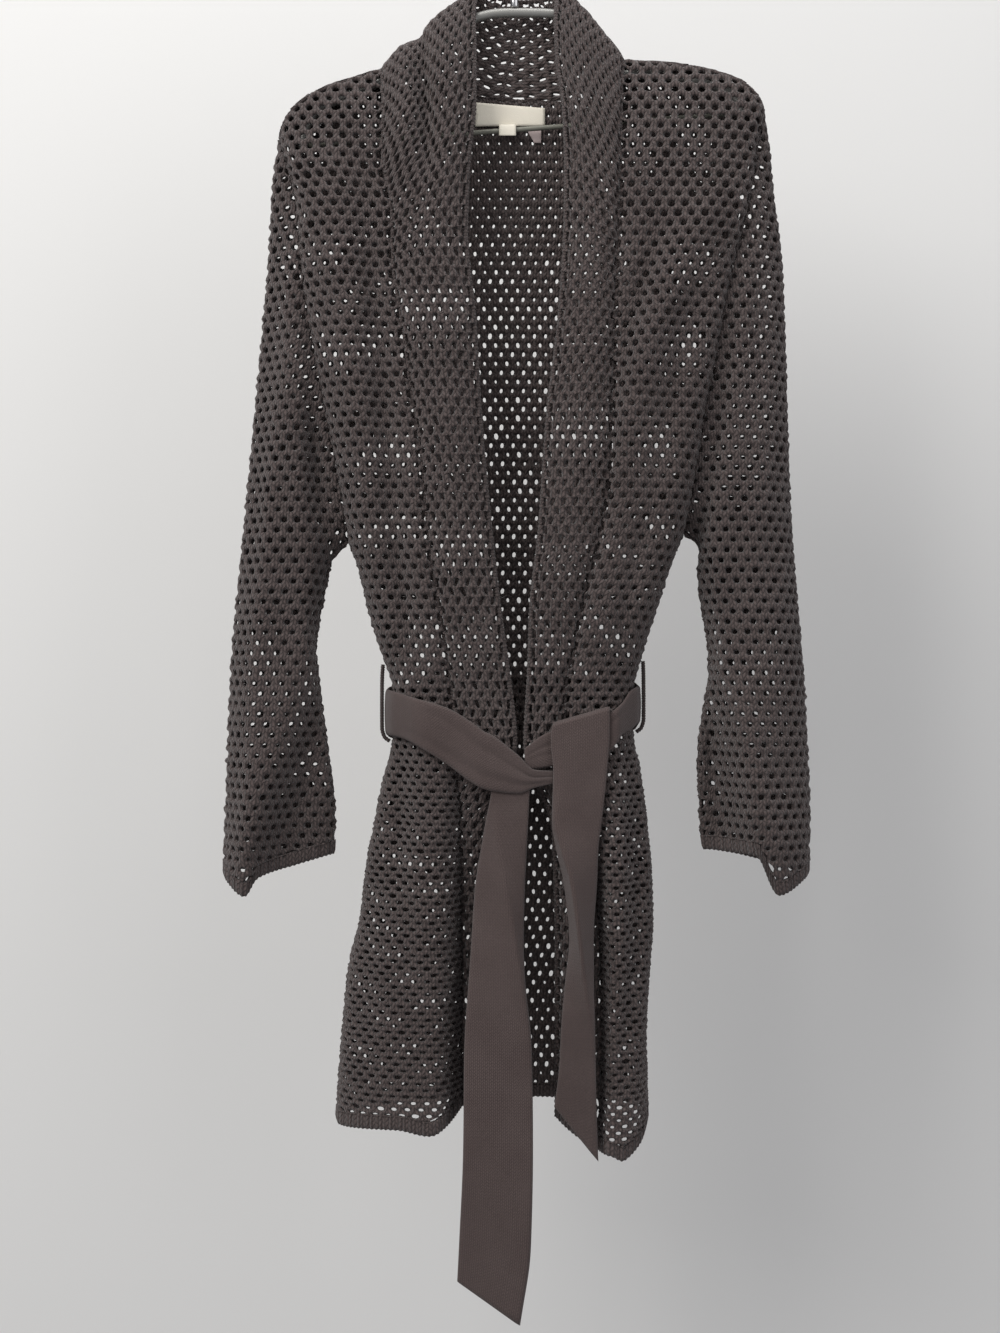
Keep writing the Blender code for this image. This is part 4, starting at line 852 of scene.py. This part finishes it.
# One knitted cell: a hole, and half of each strand round it. Columns of the ring: across and down in
# cells, how high the strand's front and back stand there
ringCorners = [(0, -1, 1.0), (1, -1, 0.95), (1, 0, 0.7), (1, 1, 0.95), (0, 1, 1.0), (-1, 1, 0.95), (-1, 0, 0.7),
               (-1, -1, 0.95)]


def rowLines(length, pitches):
    # Where each row of holes lies, from a table of distance down the panel and row height
    lines = [pitches[0][1] * -0.5]
    table = np.array(pitches, float)
    while lines[-1] < length + 10:
        lines.append(lines[-1] + np.interp(lines[-1], table[:, 0], table[:, 1]))
    return np.array(lines)


def knitCells(made, spec, seed, part=None):
    rng = np.random.default_rng(seed)
    length = (made["chart"].shape[0] - 1) * chartStep
    lines = rowLines(length, spec["rows"])
    pitch = spec["pitch"]
    first = int(made["low"].min() / pitch) - 1
    last = int(made["high"].max() / pitch) + 1
    r, i = np.meshgrid(np.arange(1, len(lines) - 1), np.arange(first, last + 1), indexing="ij")
    r = r.ravel()
    i = i.ravel()
    x2 = 2 * i + r % 2
    keys = []
    for across, down, high in ringCorners:
        keys.append(np.stack([x2 + across, 2 * r + down], axis=1))
    keys = np.stack(keys, axis=1)

    def lattice(x, y):
        # y in half rows; the zigzag moves the points between two rows of holes up and down in turn
        between = (y % 2) == 1
        even = ((x + (y - 1) // 2) % 2) == 0
        zig = np.where(between, np.where(even, 1, -1), 0) * spec["zigzag"]
        place = y / 2 + zig
        return x * pitch / 2, np.interp(place, np.arange(len(lines)), lines)

    kx, ky = lattice(keys[..., 0], keys[..., 1])
    cx = x2 * pitch / 2
    cy = lines[r]
    row = np.clip((cy / chartStep).astype(int), 0, len(made["low"]) - 1)
    inside = (cx > made["low"][row] + spec["edge"] * pitch) & (cx < made["high"][row] - spec["edge"] * pitch)
    inside &= cy < length - 0.2 * (lines[r + 1] - cy)
    if part is not None:
        inside &= (cy >= part[0]) & (cy < part[1])
    ring = onChart(made, kx, ky)[..., :3]
    centre = ring.mean(axis=1, keepdims=True)
    fan = np.cross(ring - centre, np.roll(ring, -1, axis=1) - centre)
    area = np.linalg.norm(fan.sum(axis=1), axis=1) / 2
    inside &= area > spec["least"] * pitch * (lines[r + 1] - lines[r])
    keys = keys[inside]
    cx = cx[inside]
    cy = cy[inside]
    r = r[inside]
    tall = lines[r + 1] - lines[r]
    flat = keys.reshape(-1, 2)
    unique, index = np.unique(flat, axis=0, return_inverse=True)
    index = index.reshape(-1, 8)
    ux, uy = lattice(unique[:, 0], unique[:, 1])
    wander = rng.normal(0, spec["wander"], (2, len(unique)))
    outer = onChart(made, ux + wander[0], uy + wander[1])
    link = (unique[:, 1] % 2) == 0
    lean = np.where(r % 2 == 0, 1, -1) * spec["lean"]
    size = rng.normal(1, spec["vary"], len(r)) * np.interp(cy, *np.array(spec["holes"], float).T)
    holes = []
    for across, down, high in ringCorners:
        reach = 0.74 if across and down else 1.0
        dx = across * reach * spec["holeWide"] / 2 * size
        dy = down * reach * spec["holeTall"] / 2 * tall * size
        holes.append(np.stack([cx + dx - lean * dy, cy + dy], axis=1))
    holes = np.stack(holes, axis=1).reshape(-1, 2)
    hole = onChart(made, holes[:, 0], holes[:, 1])
    rise = np.where(link, spec["linkRise"], spec["rise"]) * rng.normal(1, spec["vary"], len(unique))
    count = len(unique)
    flatPlace = np.stack([ux, uy], axis=1)
    inward = mix((flatPlace + wander.T)[index.ravel()], holes, 0.52)
    shoulder = onChart(made, inward[:, 0], inward[:, 1])
    full = rise[index.ravel()] * spec["plump"]
    points = np.concatenate([
        outer[:, :3] + outer[:, 3:] * rise[:, None],
        outer[:, :3] - outer[:, 3:] * rise[:, None],
        hole[:, :3] + hole[:, 3:] * spec["lip"],
        shoulder[:, :3] + shoulder[:, 3:] * full[:, None],
    ])
    uv = np.concatenate([flatPlace, flatPlace, holes, inward])
    faces = []
    at = np.arange(len(r)) * 8
    for k in range(8):
        n = (k + 1) % 8
        inner, innerNext = 2 * count + at + k, 2 * count + at + n
        half, halfNext = inner + len(holes), innerNext + len(holes)
        a = index[:, k]
        b = index[:, n]
        faces.append(np.stack([a, b, halfNext, half], axis=1))
        faces.append(np.stack([half, halfNext, innerNext, inner], axis=1))
        faces.append(np.stack([count + b, count + a, inner, innerNext], axis=1))
    edges = np.concatenate([np.stack([index[:, k], index[:, (k + 1) % 8]], axis=1) for k in range(8)])
    ordered = np.sort(edges, axis=1)
    _, back, times = np.unique(ordered, axis=0, return_inverse=True, return_counts=True)
    rim = edges[times[back.ravel()] == 1]
    faces.append(np.stack([rim[:, 1], rim[:, 0], count + rim[:, 0], count + rim[:, 1]], axis=1))
    faces = np.concatenate(faces)
    return points, faces, uv


def joinParts(parts):
    points, faces, uv = [], [], []
    count = 0
    for p, f, t in parts:
        points.append(p)
        faces += (np.asarray(f) + count).tolist() if hasattr(f, "shape") else [[v + count for v in q] for q in f]
        uv.append(t)
        count += len(p)
    return np.concatenate(points), faces, np.concatenate(uv)


def evenLine(line, step):
    along = np.concatenate([[0], np.cumsum(np.linalg.norm(np.diff(line[:, :3], axis=0), axis=1))])
    count = max(4, int(round(along[-1] / step)))
    at = np.linspace(0, along[-1], count + 1)
    return np.stack([np.interp(at, along, line[:, c]) for c in range(line.shape[1])], axis=1), at


def ribBorder(lines, spec):
    # A dense ribbed edge: lines run along it, from its free edge inwards
    first, at = evenLine(lines[0], spec["ribStep"])
    share = at / at[-1]
    grid = []
    for line in lines:
        along = np.concatenate([[0], np.cumsum(np.linalg.norm(np.diff(line[:, :3], axis=0), axis=1))])
        along /= max(along[-1], 1e-6)
        grid.append(np.stack([np.interp(share, along, line[:, c]) for c in range(6)], axis=1))
    grid = np.array(grid)
    phase = (np.arange(len(at)) % 4) / 4
    rib = 0.5 + 0.5 * np.cos(2 * np.pi * phase)
    n = grid.shape[0]
    thick = np.interp(np.arange(n), [0, 1, n - 1], [0.45, 1, 1])[:, None] * (spec["ribLow"] + spec["ribHigh"] * rib)
    scallop = np.zeros((n, len(at)))
    scallop[0] = rib * 0.8
    outer = grid[..., :3] + grid[..., 3:] * thick[..., None]
    inner = grid[..., :3] - grid[..., 3:] * thick[..., None]
    away = grid[0, :, :3] - grid[1, :, :3]
    away /= np.linalg.norm(away, axis=1, keepdims=True)
    outer[0] += away * scallop[0][:, None]
    inner[0] += away * scallop[0][:, None]
    m = len(at)
    points = np.concatenate([outer.reshape(-1, 3), inner.reshape(-1, 3)])
    faces = []
    total = n * m
    for i in range(n - 1):
        k = np.arange(m - 1)
        a, b, c, d = i * m + k, (i + 1) * m + k, (i + 1) * m + k + 1, i * m + k + 1
        faces.append(np.stack([a, b, c, d], axis=1))
        faces.append(np.stack([total + a, total + d, total + c, total + b], axis=1))
    k = np.arange(m - 1)
    faces.append(np.stack([k, k + 1, total + k + 1, total + k], axis=1))
    faces.append(np.stack([(n - 1) * m + k, total + (n - 1) * m + k, total + (n - 1) * m + k + 1,
                           (n - 1) * m + k + 1], axis=1))
    for j in (0, m - 1):
        for i in range(n - 1):
            faces.append(np.array([[i * m + j, total + i * m + j, total + (i + 1) * m + j, (i + 1) * m + j]]))
    uv = np.stack([np.tile(at, n), np.repeat(np.arange(n) * 3.0, m)], axis=1)
    return points, np.concatenate(faces), np.concatenate([uv, uv])


def roll(line, radius, lift, step=2.2, sides=6, twist=0.18):
    # A chain of edge stitches along a seam or a free edge
    line, at = evenLine(line, step)
    way = np.gradient(line[:, :3], axis=0)
    way /= np.maximum(np.linalg.norm(way, axis=1, keepdims=True), 1e-9)
    second = line[:, 3:6] - way * np.sum(way * line[:, 3:6], axis=1, keepdims=True)
    second /= np.linalg.norm(second, axis=1, keepdims=True)
    third = np.cross(way, second)
    thick = radius * (1 + twist * np.cos(np.arange(len(at)) * np.pi))
    angles = np.arange(sides) * 2 * np.pi / sides
    ring = second[:, None] * np.cos(angles)[None, :, None] + third[:, None] * np.sin(angles)[None, :, None]
    points = line[:, None, :3] + second[:, None] * lift + ring * thick[:, None, None]
    points = points.reshape(-1, 3)
    i, j = np.meshgrid(np.arange(len(at) - 1), np.arange(sides), indexing="ij")
    i = i.ravel()
    j = j.ravel()
    k = (j + 1) % sides
    faces = np.stack([i * sides + j, i * sides + k, (i + 1) * sides + k, (i + 1) * sides + j], axis=1).tolist()
    faces.append(list(range(sides))[::-1])
    faces.append([(len(at) - 1) * sides + s for s in range(sides)])
    uv = np.stack([np.repeat(at, sides), np.tile(angles * radius, len(at))], axis=1)
    return points, faces, uv


# Cells in mm: spacing across, rows by distance down the panel, size of the holes and of the strands, and how
# far the holes close by distance down the panel
bodyKnit = {"pitch": 11.7, "rows": [(0, 8.8), (470, 8.6), (640, 5.6), (1000, 5.3)], "zigzag": 0.15, "edge": 0.1,
            "least": 0.3, "wander": 0.45, "vary": 0.16, "lean": 0.1, "holeWide": 5.4, "holeTall": 0.56,
            "holes": [(0, 1), (130, 1), (260, 0.84), (620, 0.82), (700, 0.95), (1000, 0.8)],
            "rise": 2.1, "linkRise": 1.3, "plump": 0.86, "lip": -0.5, "ribStep": 1.05, "ribLow": 0.9, "ribHigh": 1.1}
backKnit = {**bodyKnit, "pitch": 9.9, "rows": [(0, 8.1), (1000, 8.1)], "holeWide": 2.7, "holeTall": 0.5,
            "holes": [(0, 0.5), (120, 0.5), (200, 1), (1000, 1)]}
sleeveKnit = {**bodyKnit, "rows": [(0, 8.8), (1000, 8.8)], "holes": [(0, 0.95), (200, 0.85), (700, 0.75)]}
bandKnit = {**bodyKnit, "pitch": 9.9, "rows": [(0, 8.1), (2000, 8.1)], "holeWide": 2.6, "holeTall": 0.78, "lean": 0.32,
            "holes": [(0, 1), (860, 1), (960, 0.6), (2000, 0.45)], "zigzag": 0.06, "rise": 2.1, "linkRise": 1.9}
borderWide = 11
borderLines = (0, 3, 6, 9, 12)


def bottomLines(sheet):
    lines = []
    for back in borderLines:
        line = []
        for j in range(sheet.shape[1]):
            keys = np.maximum.accumulate(sheet[:, j, 1])
            line.append([np.interp(keys[-1] - back, keys, sheet[:, j, c]) for c in range(6)])
        lines.append(np.array(line))
    return lines


def knitPanel(name, sheet, spec, zeroColumn, nodes, seed, edges, cuts=(None,), closed=False):
    made = makeChart(levelRows(sheet, borderWide), zeroColumn)
    for number, cut in enumerate(cuts):
        parts = [knitCells(made, spec, seed, cut)]
        if number == len(cuts) - 1:
            parts.append(ribBorder(bottomLines(sheet), spec))
        if number == 0:
            for line, radius, lift in edges:
                parts.append(roll(line, radius, lift))
        points, faces, uv = joinParts(parts)
        label = name if len(cuts) == 1 else name + ("Upper" if number == 0 else "Lower")
        piece = addPiece(label, points, faces, materials["knit"], nodes, uv)
        print(label, "triangles", sum(len(face) - 2 for face in faces))


grids = {
    "front_left": frontGrid("left"),
    "front_right": frontGrid("right"),
    "back": backGrid(),
    "sleeve_left": sleeveGrid("left"),
    "sleeve_right": sleeveGrid("right"),
    "band_left": bandGrid("left"),
    "band_right": bandGrid("right"),
}
turns = {"front_left": -1, "front_right": 1, "back": -1, "sleeve_left": 1, "sleeve_right": -1, "band_left": -1,
         "band_right": 1}
sheets = {}
for key, grid in grids.items():
    sheets[key] = withNormals(grid, turns[key], key.startswith("sleeve"))
print("forms worked out")

for side in ("left", "right"):
    sheet = sheets["front_" + side]
    edges = [(sheet[:, 0], 1.5, 0.2), (sheet[:, -1], 1.4, -0.4), (sheet[0], 1.6, 0)]
    knitPanel("front" + side.capitalize(), sheet, bodyKnit, 0, ["front_" + side], 11, edges)
sheet = sheets["back"]
middle = sheet.shape[1] // 2
knitPanel("back", sheet, backKnit, middle, ["back"], 12, [(sheet[0], 1.6, 0), (sheet[:, 0], 1.4, -0.4),
          (sheet[:, -1], 1.4, -0.4)], cuts=((0, 470), (470, 2000)))
print("fronts and back knitted")

for side in ("left", "right"):
    sheet = sheets["sleeve_" + side]
    half = len(shoulderRows) - 1
    ring = np.concatenate([sheet[:, half:], sheet[:, :half + 1]], axis=1)
    zero = ring.shape[1] - half - 1
    knitPanel("sleeve" + side.capitalize(), ring, sleeveKnit, zero, ["sleeve_" + side], 13,
              [(ring[0], 1.5, 0), (ring[:, 0], 1.3, -0.6)])
print("sleeves knitted")

for side in ("left", "right"):
    sheet = sheets["band_" + side]
    made = makeChart(crossRows(sheet), sheet.shape[1] - 1)
    length = (made["chart"].shape[0] - 1) * chartStep
    rowPitch = length / round(length / bandKnit["rows"][0][1])
    parts = [knitCells(made, {**bandKnit, "rows": [(0, rowPitch), (length, rowPitch)]}, 14, (borderWide, length))]
    lines = []
    for back in borderLines:
        row = int(back / chartStep)
        low, high = made["low"][row], made["high"][row]
        x = np.linspace(low, high, 30)
        lines.append(onChart(made, x, np.full(30, float(back))))
    parts.append(ribBorder(lines, bodyKnit))
    parts.append(roll(sheet[:, -1], 2.1, -0.2))
    parts.append(roll(sheet[:, 0], 1.5, 0.2))
    parts.append(roll(sheet[-1], 2.2, 0.4))
    points, faces, uv = joinParts(parts)
    piece = addPiece("band" + side.capitalize(), points, faces, materials["knit"],
                     ["band_" + side], uv)
    print(piece.name, "triangles", sum(len(face) - 2 for face in faces))
print("collar and bands knitted")


# The belt: closed strips of rib tape

def smoothGrid(grid, rows, columns):
    a = np.linspace(0, grid.shape[0] - 1, rows)
    b = np.linspace(0, grid.shape[1] - 1, columns)
    keys = np.arange(grid.shape[0])
    first = alongTable(np.concatenate([keys[:, None], grid.reshape(grid.shape[0], -1)], axis=1), a)
    first = first.reshape(rows, grid.shape[1], 3).transpose(1, 0, 2)
    keys = np.arange(grid.shape[1])
    second = alongTable(np.concatenate([keys[:, None], first.reshape(grid.shape[1], -1)], axis=1), b)
    return second.reshape(columns, rows, 3).transpose(1, 0, 2)


def tapeWall(grid, wall, turn):
    rows, columns, _ = grid.shape
    normal = pointNormals(grid, False) * turn
    edge = np.ones(columns)
    edge[0] = edge[-1] = 0.35
    thick = (wall / 2) * edge[None, :, None]
    outer = grid + normal * thick
    inner = grid - normal * thick
    count = rows * columns
    points = np.concatenate([outer.reshape(-1, 3), inner.reshape(-1, 3)])
    i, j = np.meshgrid(np.arange(rows - 1), np.arange(columns - 1), indexing="ij")
    a = (i * columns + j).ravel()
    b, c, d = a + columns, a + columns + 1, a + 1
    faces = [np.stack([a, b, c, d], axis=1), np.stack([a, d, c, b], axis=1) + count]
    k = np.arange(columns - 1)
    faces.append(np.stack([k, k + 1, k + 1 + count, k + count], axis=1))
    last = (rows - 1) * columns + k
    faces.append(np.stack([last + 1, last, last + count, last + 1 + count], axis=1))
    k = np.arange(rows - 1) * columns
    faces.append(np.stack([k + columns, k, k + count, k + columns + count], axis=1))
    k = k + columns - 1
    faces.append(np.stack([k, k + columns, k + columns + count, k + count], axis=1))
    faces = np.concatenate(faces)
    if turn < 0:
        faces = faces[:, ::-1]
    along = np.concatenate([[0], np.cumsum(np.linalg.norm(np.diff(grid[:, columns // 2], axis=0), axis=1))])
    over = np.concatenate([[0], np.cumsum(np.linalg.norm(np.diff(grid[rows // 2], axis=0), axis=1))])
    uv = np.stack(np.meshgrid(over, along), axis=2).reshape(-1, 2)
    return points, faces, np.concatenate([uv, uv])


def tapePiece(name, node, grid, turn):
    points, faces, uv = tapeWall(grid, beltWall, turn)
    piece = addPiece(name, points, faces, materials["rib"], [node], uv)
    return piece


panels = {key: {"grid": grid} for key, grid in grids.items()}
ways = {key: (sheets[key][..., 3:], np.ones(sheets[key].shape[:2])) for key in grids}
plan = beltPlan(panels, ways)
count = len(plan)
left = int(np.argmin(np.abs(plan[:, 1] - sideDepth) + (plan[:, 0] > 0) * 1000))
front = np.arange(left, count)
leftEnd = front[np.argmin(np.abs(plan[front, 0] - beltLeft[-1][0]))]
rightEnd = front[np.argmin(np.abs(plan[front, 0] - beltRight[-1][0]))]
beltColumns = 16
tailColumns = 24


def creased(grid, creases):
    # Soft pulled creases: the share across and along where each runs, its width in mm and its height
    rows, columns, _ = grid.shape
    normal = pointNormals(grid, False)
    s = np.linspace(0, 1, rows)[:, None]
    t = np.linspace(0, 1, columns)[None, :]
    lift = np.zeros((rows, columns))
    for from_, to, width, high in creases:
        middle = mix(from_[1], to[1], np.clip((s - from_[0]) / (to[0] - from_[0]), 0, 1))
        strong = np.sin(np.pi * np.clip((s - from_[0]) / (to[0] - from_[0]), 0, 1)) ** 0.5
        lift += high * strong * np.exp(-((t - middle) / width) ** 2)
    return grid + normal * lift[..., None]


places, upper, lower = stripPlaces(plan, left + 1, leftEnd, 90, beltLeft)
grid = creased(stripGrid(places, upper, lower, 0.8), [((0.35, 0.2), (1.0, 0.45), 0.07, 1.3),
               ((0.5, 0.6), (1.0, 0.6), 0.05, -0.9), ((0.2, 0.8), (0.95, 0.75), 0.06, 1.0)])
tapePiece("beltLeft", "belt_left", grid, 1)
places, upper, lower = stripPlaces(plan, count - 1, rightEnd, 70, beltRight)
grid = creased(stripGrid(places, upper, lower, -0.8), [((0.3, 0.25), (1.0, 0.4), 0.06, -1.1),
               ((0.4, 0.7), (1.0, 0.6), 0.06, -0.9)])
tapePiece("beltRight", "belt_right", grid, -1)
places = planStretch(plan, left - 1, 1, 160)
edges = alongTable(beltBehind, np.linspace(0, 1, 160))
grid = stripGrid(places, edges[:, 0], edges[:, 1], -0.8)
tapePiece("beltBehind", "belt_behind", grid, -1)
for name, node, rows, flat in (("beltTailLeft", "tail_left", tailLeft, (0.07, 0.45)),
                               ("beltTailRight", "tail_right", tailRight, (0.06, 0.37))):
    grid = smoothGrid(tailGrid(smoothTail(rows, 40), plan), 130, 25)
    tapePiece(name, node, grid, -1)
print("belt made")


# Hanger, carriers and labels

def tube(path, radii, sides, roundEnds=True):
    path = np.array(path, float)
    radii = np.full(len(path), float(radii)) if np.isscalar(radii) else np.array(radii, float)
    if roundEnds:
        steps = np.array([1, 0.92, 0.7, 0.38, 0.05])
        for end, inner in ((0, 1), (-1, -2)):
            way = path[end] - path[inner]
            way /= np.linalg.norm(way)
            radius = radii[end]
            caps = [path[end] - way * radius * s for s in steps]
            sizes = [radius * math.sqrt(max(1 - (1 - s) ** 2, 0.002)) for s in steps]
            if end == 0:
                path = np.concatenate([np.array(caps[::-1]), path[1:]])
                radii = np.concatenate([sizes[::-1], radii[1:]])
            else:
                path = np.concatenate([path[:-1], np.array(caps)])
                radii = np.concatenate([radii[:-1], sizes])
    way = np.gradient(path, axis=0)
    way /= np.maximum(np.linalg.norm(way, axis=1, keepdims=True), 1e-9)
    second = np.cross(way, np.array([0, 0, 1.0]))
    second /= np.linalg.norm(second, axis=1, keepdims=True)
    third = np.cross(second, way)
    angles = np.arange(sides) * 2 * math.pi / sides
    ring = second[:, None] * np.cos(angles)[None, :, None] + third[:, None] * np.sin(angles)[None, :, None]
    points = (path[:, None] + ring * radii[:, None, None]).reshape(-1, 3)
    i, j = np.meshgrid(np.arange(len(path) - 1), np.arange(sides), indexing="ij")
    i = i.ravel()
    j = j.ravel()
    k = (j + 1) % sides
    faces = np.stack([i * sides + j, (i + 1) * sides + j, (i + 1) * sides + k, i * sides + k], axis=1).tolist()
    faces.append(list(range(sides)))
    faces.append([(len(path) - 1) * sides + s for s in range(sides)][::-1])
    uv = np.stack([np.repeat(np.arange(len(path)) * 2.0, sides), np.tile(angles * 2, len(path))], axis=1)
    return points, faces, uv


for side, out in (("left", -1), ("right", 1)):
    top, bottom = carrierEnds[side]
    beltSide = plan[:, 0].min() if side == "left" else plan[:, 0].max()
    over = beltSide + out * (beltWall / 2 + loopCord / 2 + carrierSlack)
    seam = [alongTable(sideSeam[side], drop)[0] + out * (knitWall / 2 + loopCord / 2 + restGap)
            for drop in (top, bottom)]
    spots = [(seam[0], top, sideDepth), (mix(seam[0], over, 0.7), top + 9, sideDepth), (over, top + 20, sideDepth),
             (over, mix(top, bottom, 0.5), sideDepth - 1), (over, bottom - 12, sideDepth),
             (mix(seam[1], over, 0.7), bottom - 4, sideDepth), (seam[1], bottom, sideDepth)]
    path = smoothPath(spots, 60)
    radii = loopCord / 2 * (1 + 0.14 * np.cos(np.arange(60) * math.pi))
    points, faces, uv = tube(path, radii, 8, False)
    addPiece("beltCarrier" + side.capitalize(), points, faces, materials["knit"],
             ["belt_carrier_" + side], uv)

arms = smoothPath(armPath(), 220)
points, faces, uv = tube(arms, hangerArm / 2, 20)
addPiece("hangerArms", points, faces, materials["barMetal"], ["hanger_arms"], uv)
rod = [(*mix(np.array(rodEnds[0]), np.array(rodEnds[1]), s), rodDepth) for s in np.linspace(0, 1, 12)]
points, faces, uv = tube(rod, hangerRod / 2, 16, False)
addPiece("hangerRod", points, faces, materials["rodMetal"], ["hanger_rod"], uv)
low, high = stemDrop
wire = hookInside + hookWire / 2
spots = [(stemAcross, high - 1.0, 0), (stemAcross, high - 2.2, 0), (stemAcross + 1.2, high - 3.6, 0)]
spots += [(wire * math.cos(math.radians(d)), hookInside - wire * math.sin(math.radians(d)), 0)
          for d in range(-64, 208, 4)]
hookPart = tube(spots, hookWire / 2, 14)
stemPart = tube([(stemAcross, low, 0), (stemAcross, low - 1, 0), (stemAcross, high + 1, 0), (stemAcross, high, 0)],
                [hangerStem / 2 - 0.5, hangerStem / 2, hangerStem / 2, hangerStem / 2 - 0.5], 20, False)
points, faces, uv = joinParts([hookPart, stemPart])
addPiece("hangerHook", points, faces, materials["wireMetal"], ["hanger_hook"], uv)
print("hanger made")


def labelPiece(name, node, corners, material, lift):
    u = np.linspace(0, 1, 24)[None, :]
    v = np.linspace(0, 1, 10)[:, None]
    across = mix(mix(corners[0][0], corners[1][0], u), mix(corners[2][0], corners[3][0], u), v)
    drop = mix(mix(corners[0][1], corners[1][1], u), mix(corners[2][1], corners[3][1], u), v)
    depth = backDepth(across, drop) - lift - 0.5 * np.sin(np.pi * u) * v
    grid = np.stack([across, drop, depth], axis=2)
    points, faces, uv = tapeWall(grid, 0.5, -1)
    piece = addPiece(name, points, faces, material, [node], uv)
    return piece


def backDepth(across, drop):
    # Depth of the back's middle near the neck, from the nearest of its fine points
    near = sheets["back"][:30].reshape(-1, 6)
    near = near[(near[:, 1] > 120) & (near[:, 1] < 230) & (np.abs(near[:, 0]) < 70)]
    found = []
    for x, y in zip(across.ravel(), drop.ravel()):
        weight = 1 / ((near[:, 0] - x) ** 2 + (near[:, 1] - y) ** 2 + 4) ** 2
        found.append((near[:, 2] * weight).sum() / weight.sum())
    return np.array(found).reshape(across.shape)


lab = neckLabel
labelPiece("neckLabel", "neck_label", [(lab["left"], lab["top"][0]), (lab["right"], lab["top"][1]),
           (lab["left"], lab["bottom"][0]), (lab["right"], lab["bottom"][1])], materials["label"], 3.6)
labelPiece("careTab", "care_tab", [(careTab["top"][0], careTab["drops"][0]), (careTab["top"][1], careTab["drops"][0]),
           (careTab["bottom"][0], careTab["drops"][1]), (careTab["bottom"][1], careTab["drops"][1])],
           materials["tab"], 3.4)
path = np.array([(0, y, z) for y, z in sizeTab["path"]], float)
path = smoothPath(path, 24)
u = np.linspace(0, 1, 8)[None, :]
grid = np.stack([mix(sizeTab["left"], sizeTab["right"], u) + 0 * path[:, :1], path[:, 1:2] + 0 * u,
                 path[:, 2:3] + 0 * u], axis=2)
points, faces, uv = tapeWall(grid, 0.6, -1)
piece = addPiece("sizeTab", points, faces, materials["label"], ["size_tab"], uv)
print("labels made")

# Wall, light and camera

def stagePlane(name, corners, material):
    mesh = bpy.data.meshes.new(name)
    mesh.from_pydata(corners, [], [(0, 1, 2, 3)])
    mesh.materials.append(material)
    item = bpy.data.objects.new(name, mesh)
    bpy.context.scene.collection.objects.link(item)
    return item


stagePlane("wall", [(-3, 0.4, -3), (3, 0.4, -3), (3, 0.4, 2), (-3, 0.4, 2)], materials["wall"])


def areaLight(name, place, aim, size, power, colour):
    data = bpy.data.lights.new(name, "AREA")
    data.shape = "RECTANGLE"
    data.size, data.size_y = size
    data.energy = power
    data.color = colour
    item = bpy.data.objects.new(name, data)
    bpy.context.scene.collection.objects.link(item)
    item.location = place
    way = np.array(aim, float) - np.array(place, float)
    item.rotation_euler = (math.atan2(math.hypot(way[0], way[1]), -way[2]), 0, math.atan2(-way[0], way[1]))
    return item


areaLight("key", (-1.7, -1.9, 1.0), (0, 0, -0.5), (2.0, 2.0), 74, (1, 0.99, 0.97))
areaLight("fill", (1.9, -2.2, -0.2), (0, 0, -0.6), (1.8, 2.2), 16, (0.98, 0.98, 1))
areaLight("top", (0.2, -0.5, 1.5), (0, 0, -0.5), (1.6, 1.0), 18, (1, 1, 1))
world = bpy.data.worlds.new("studio")
world.use_nodes = True
world.node_tree.nodes["Background"].inputs[0].default_value = (0.95, 0.96, 1, 1)
world.node_tree.nodes["Background"].inputs[1].default_value = 0.38
bpy.context.scene.world = world

camera = bpy.data.cameras.new("camera")
camera.sensor_fit = "VERTICAL"
camera.sensor_height = 36
camera.lens = 36 * 1.6 / 1.17304
camera.clip_start = 0.05
cameraItem = bpy.data.objects.new("camera", camera)
bpy.context.scene.collection.objects.link(cameraItem)
cameraItem.location = (-0.01584, -1.6, -0.65076)
cameraItem.rotation_euler = (math.pi / 2, 0, 0)
bpy.context.scene.camera = cameraItem
bpy.context.scene.view_settings.view_transform = "Standard"
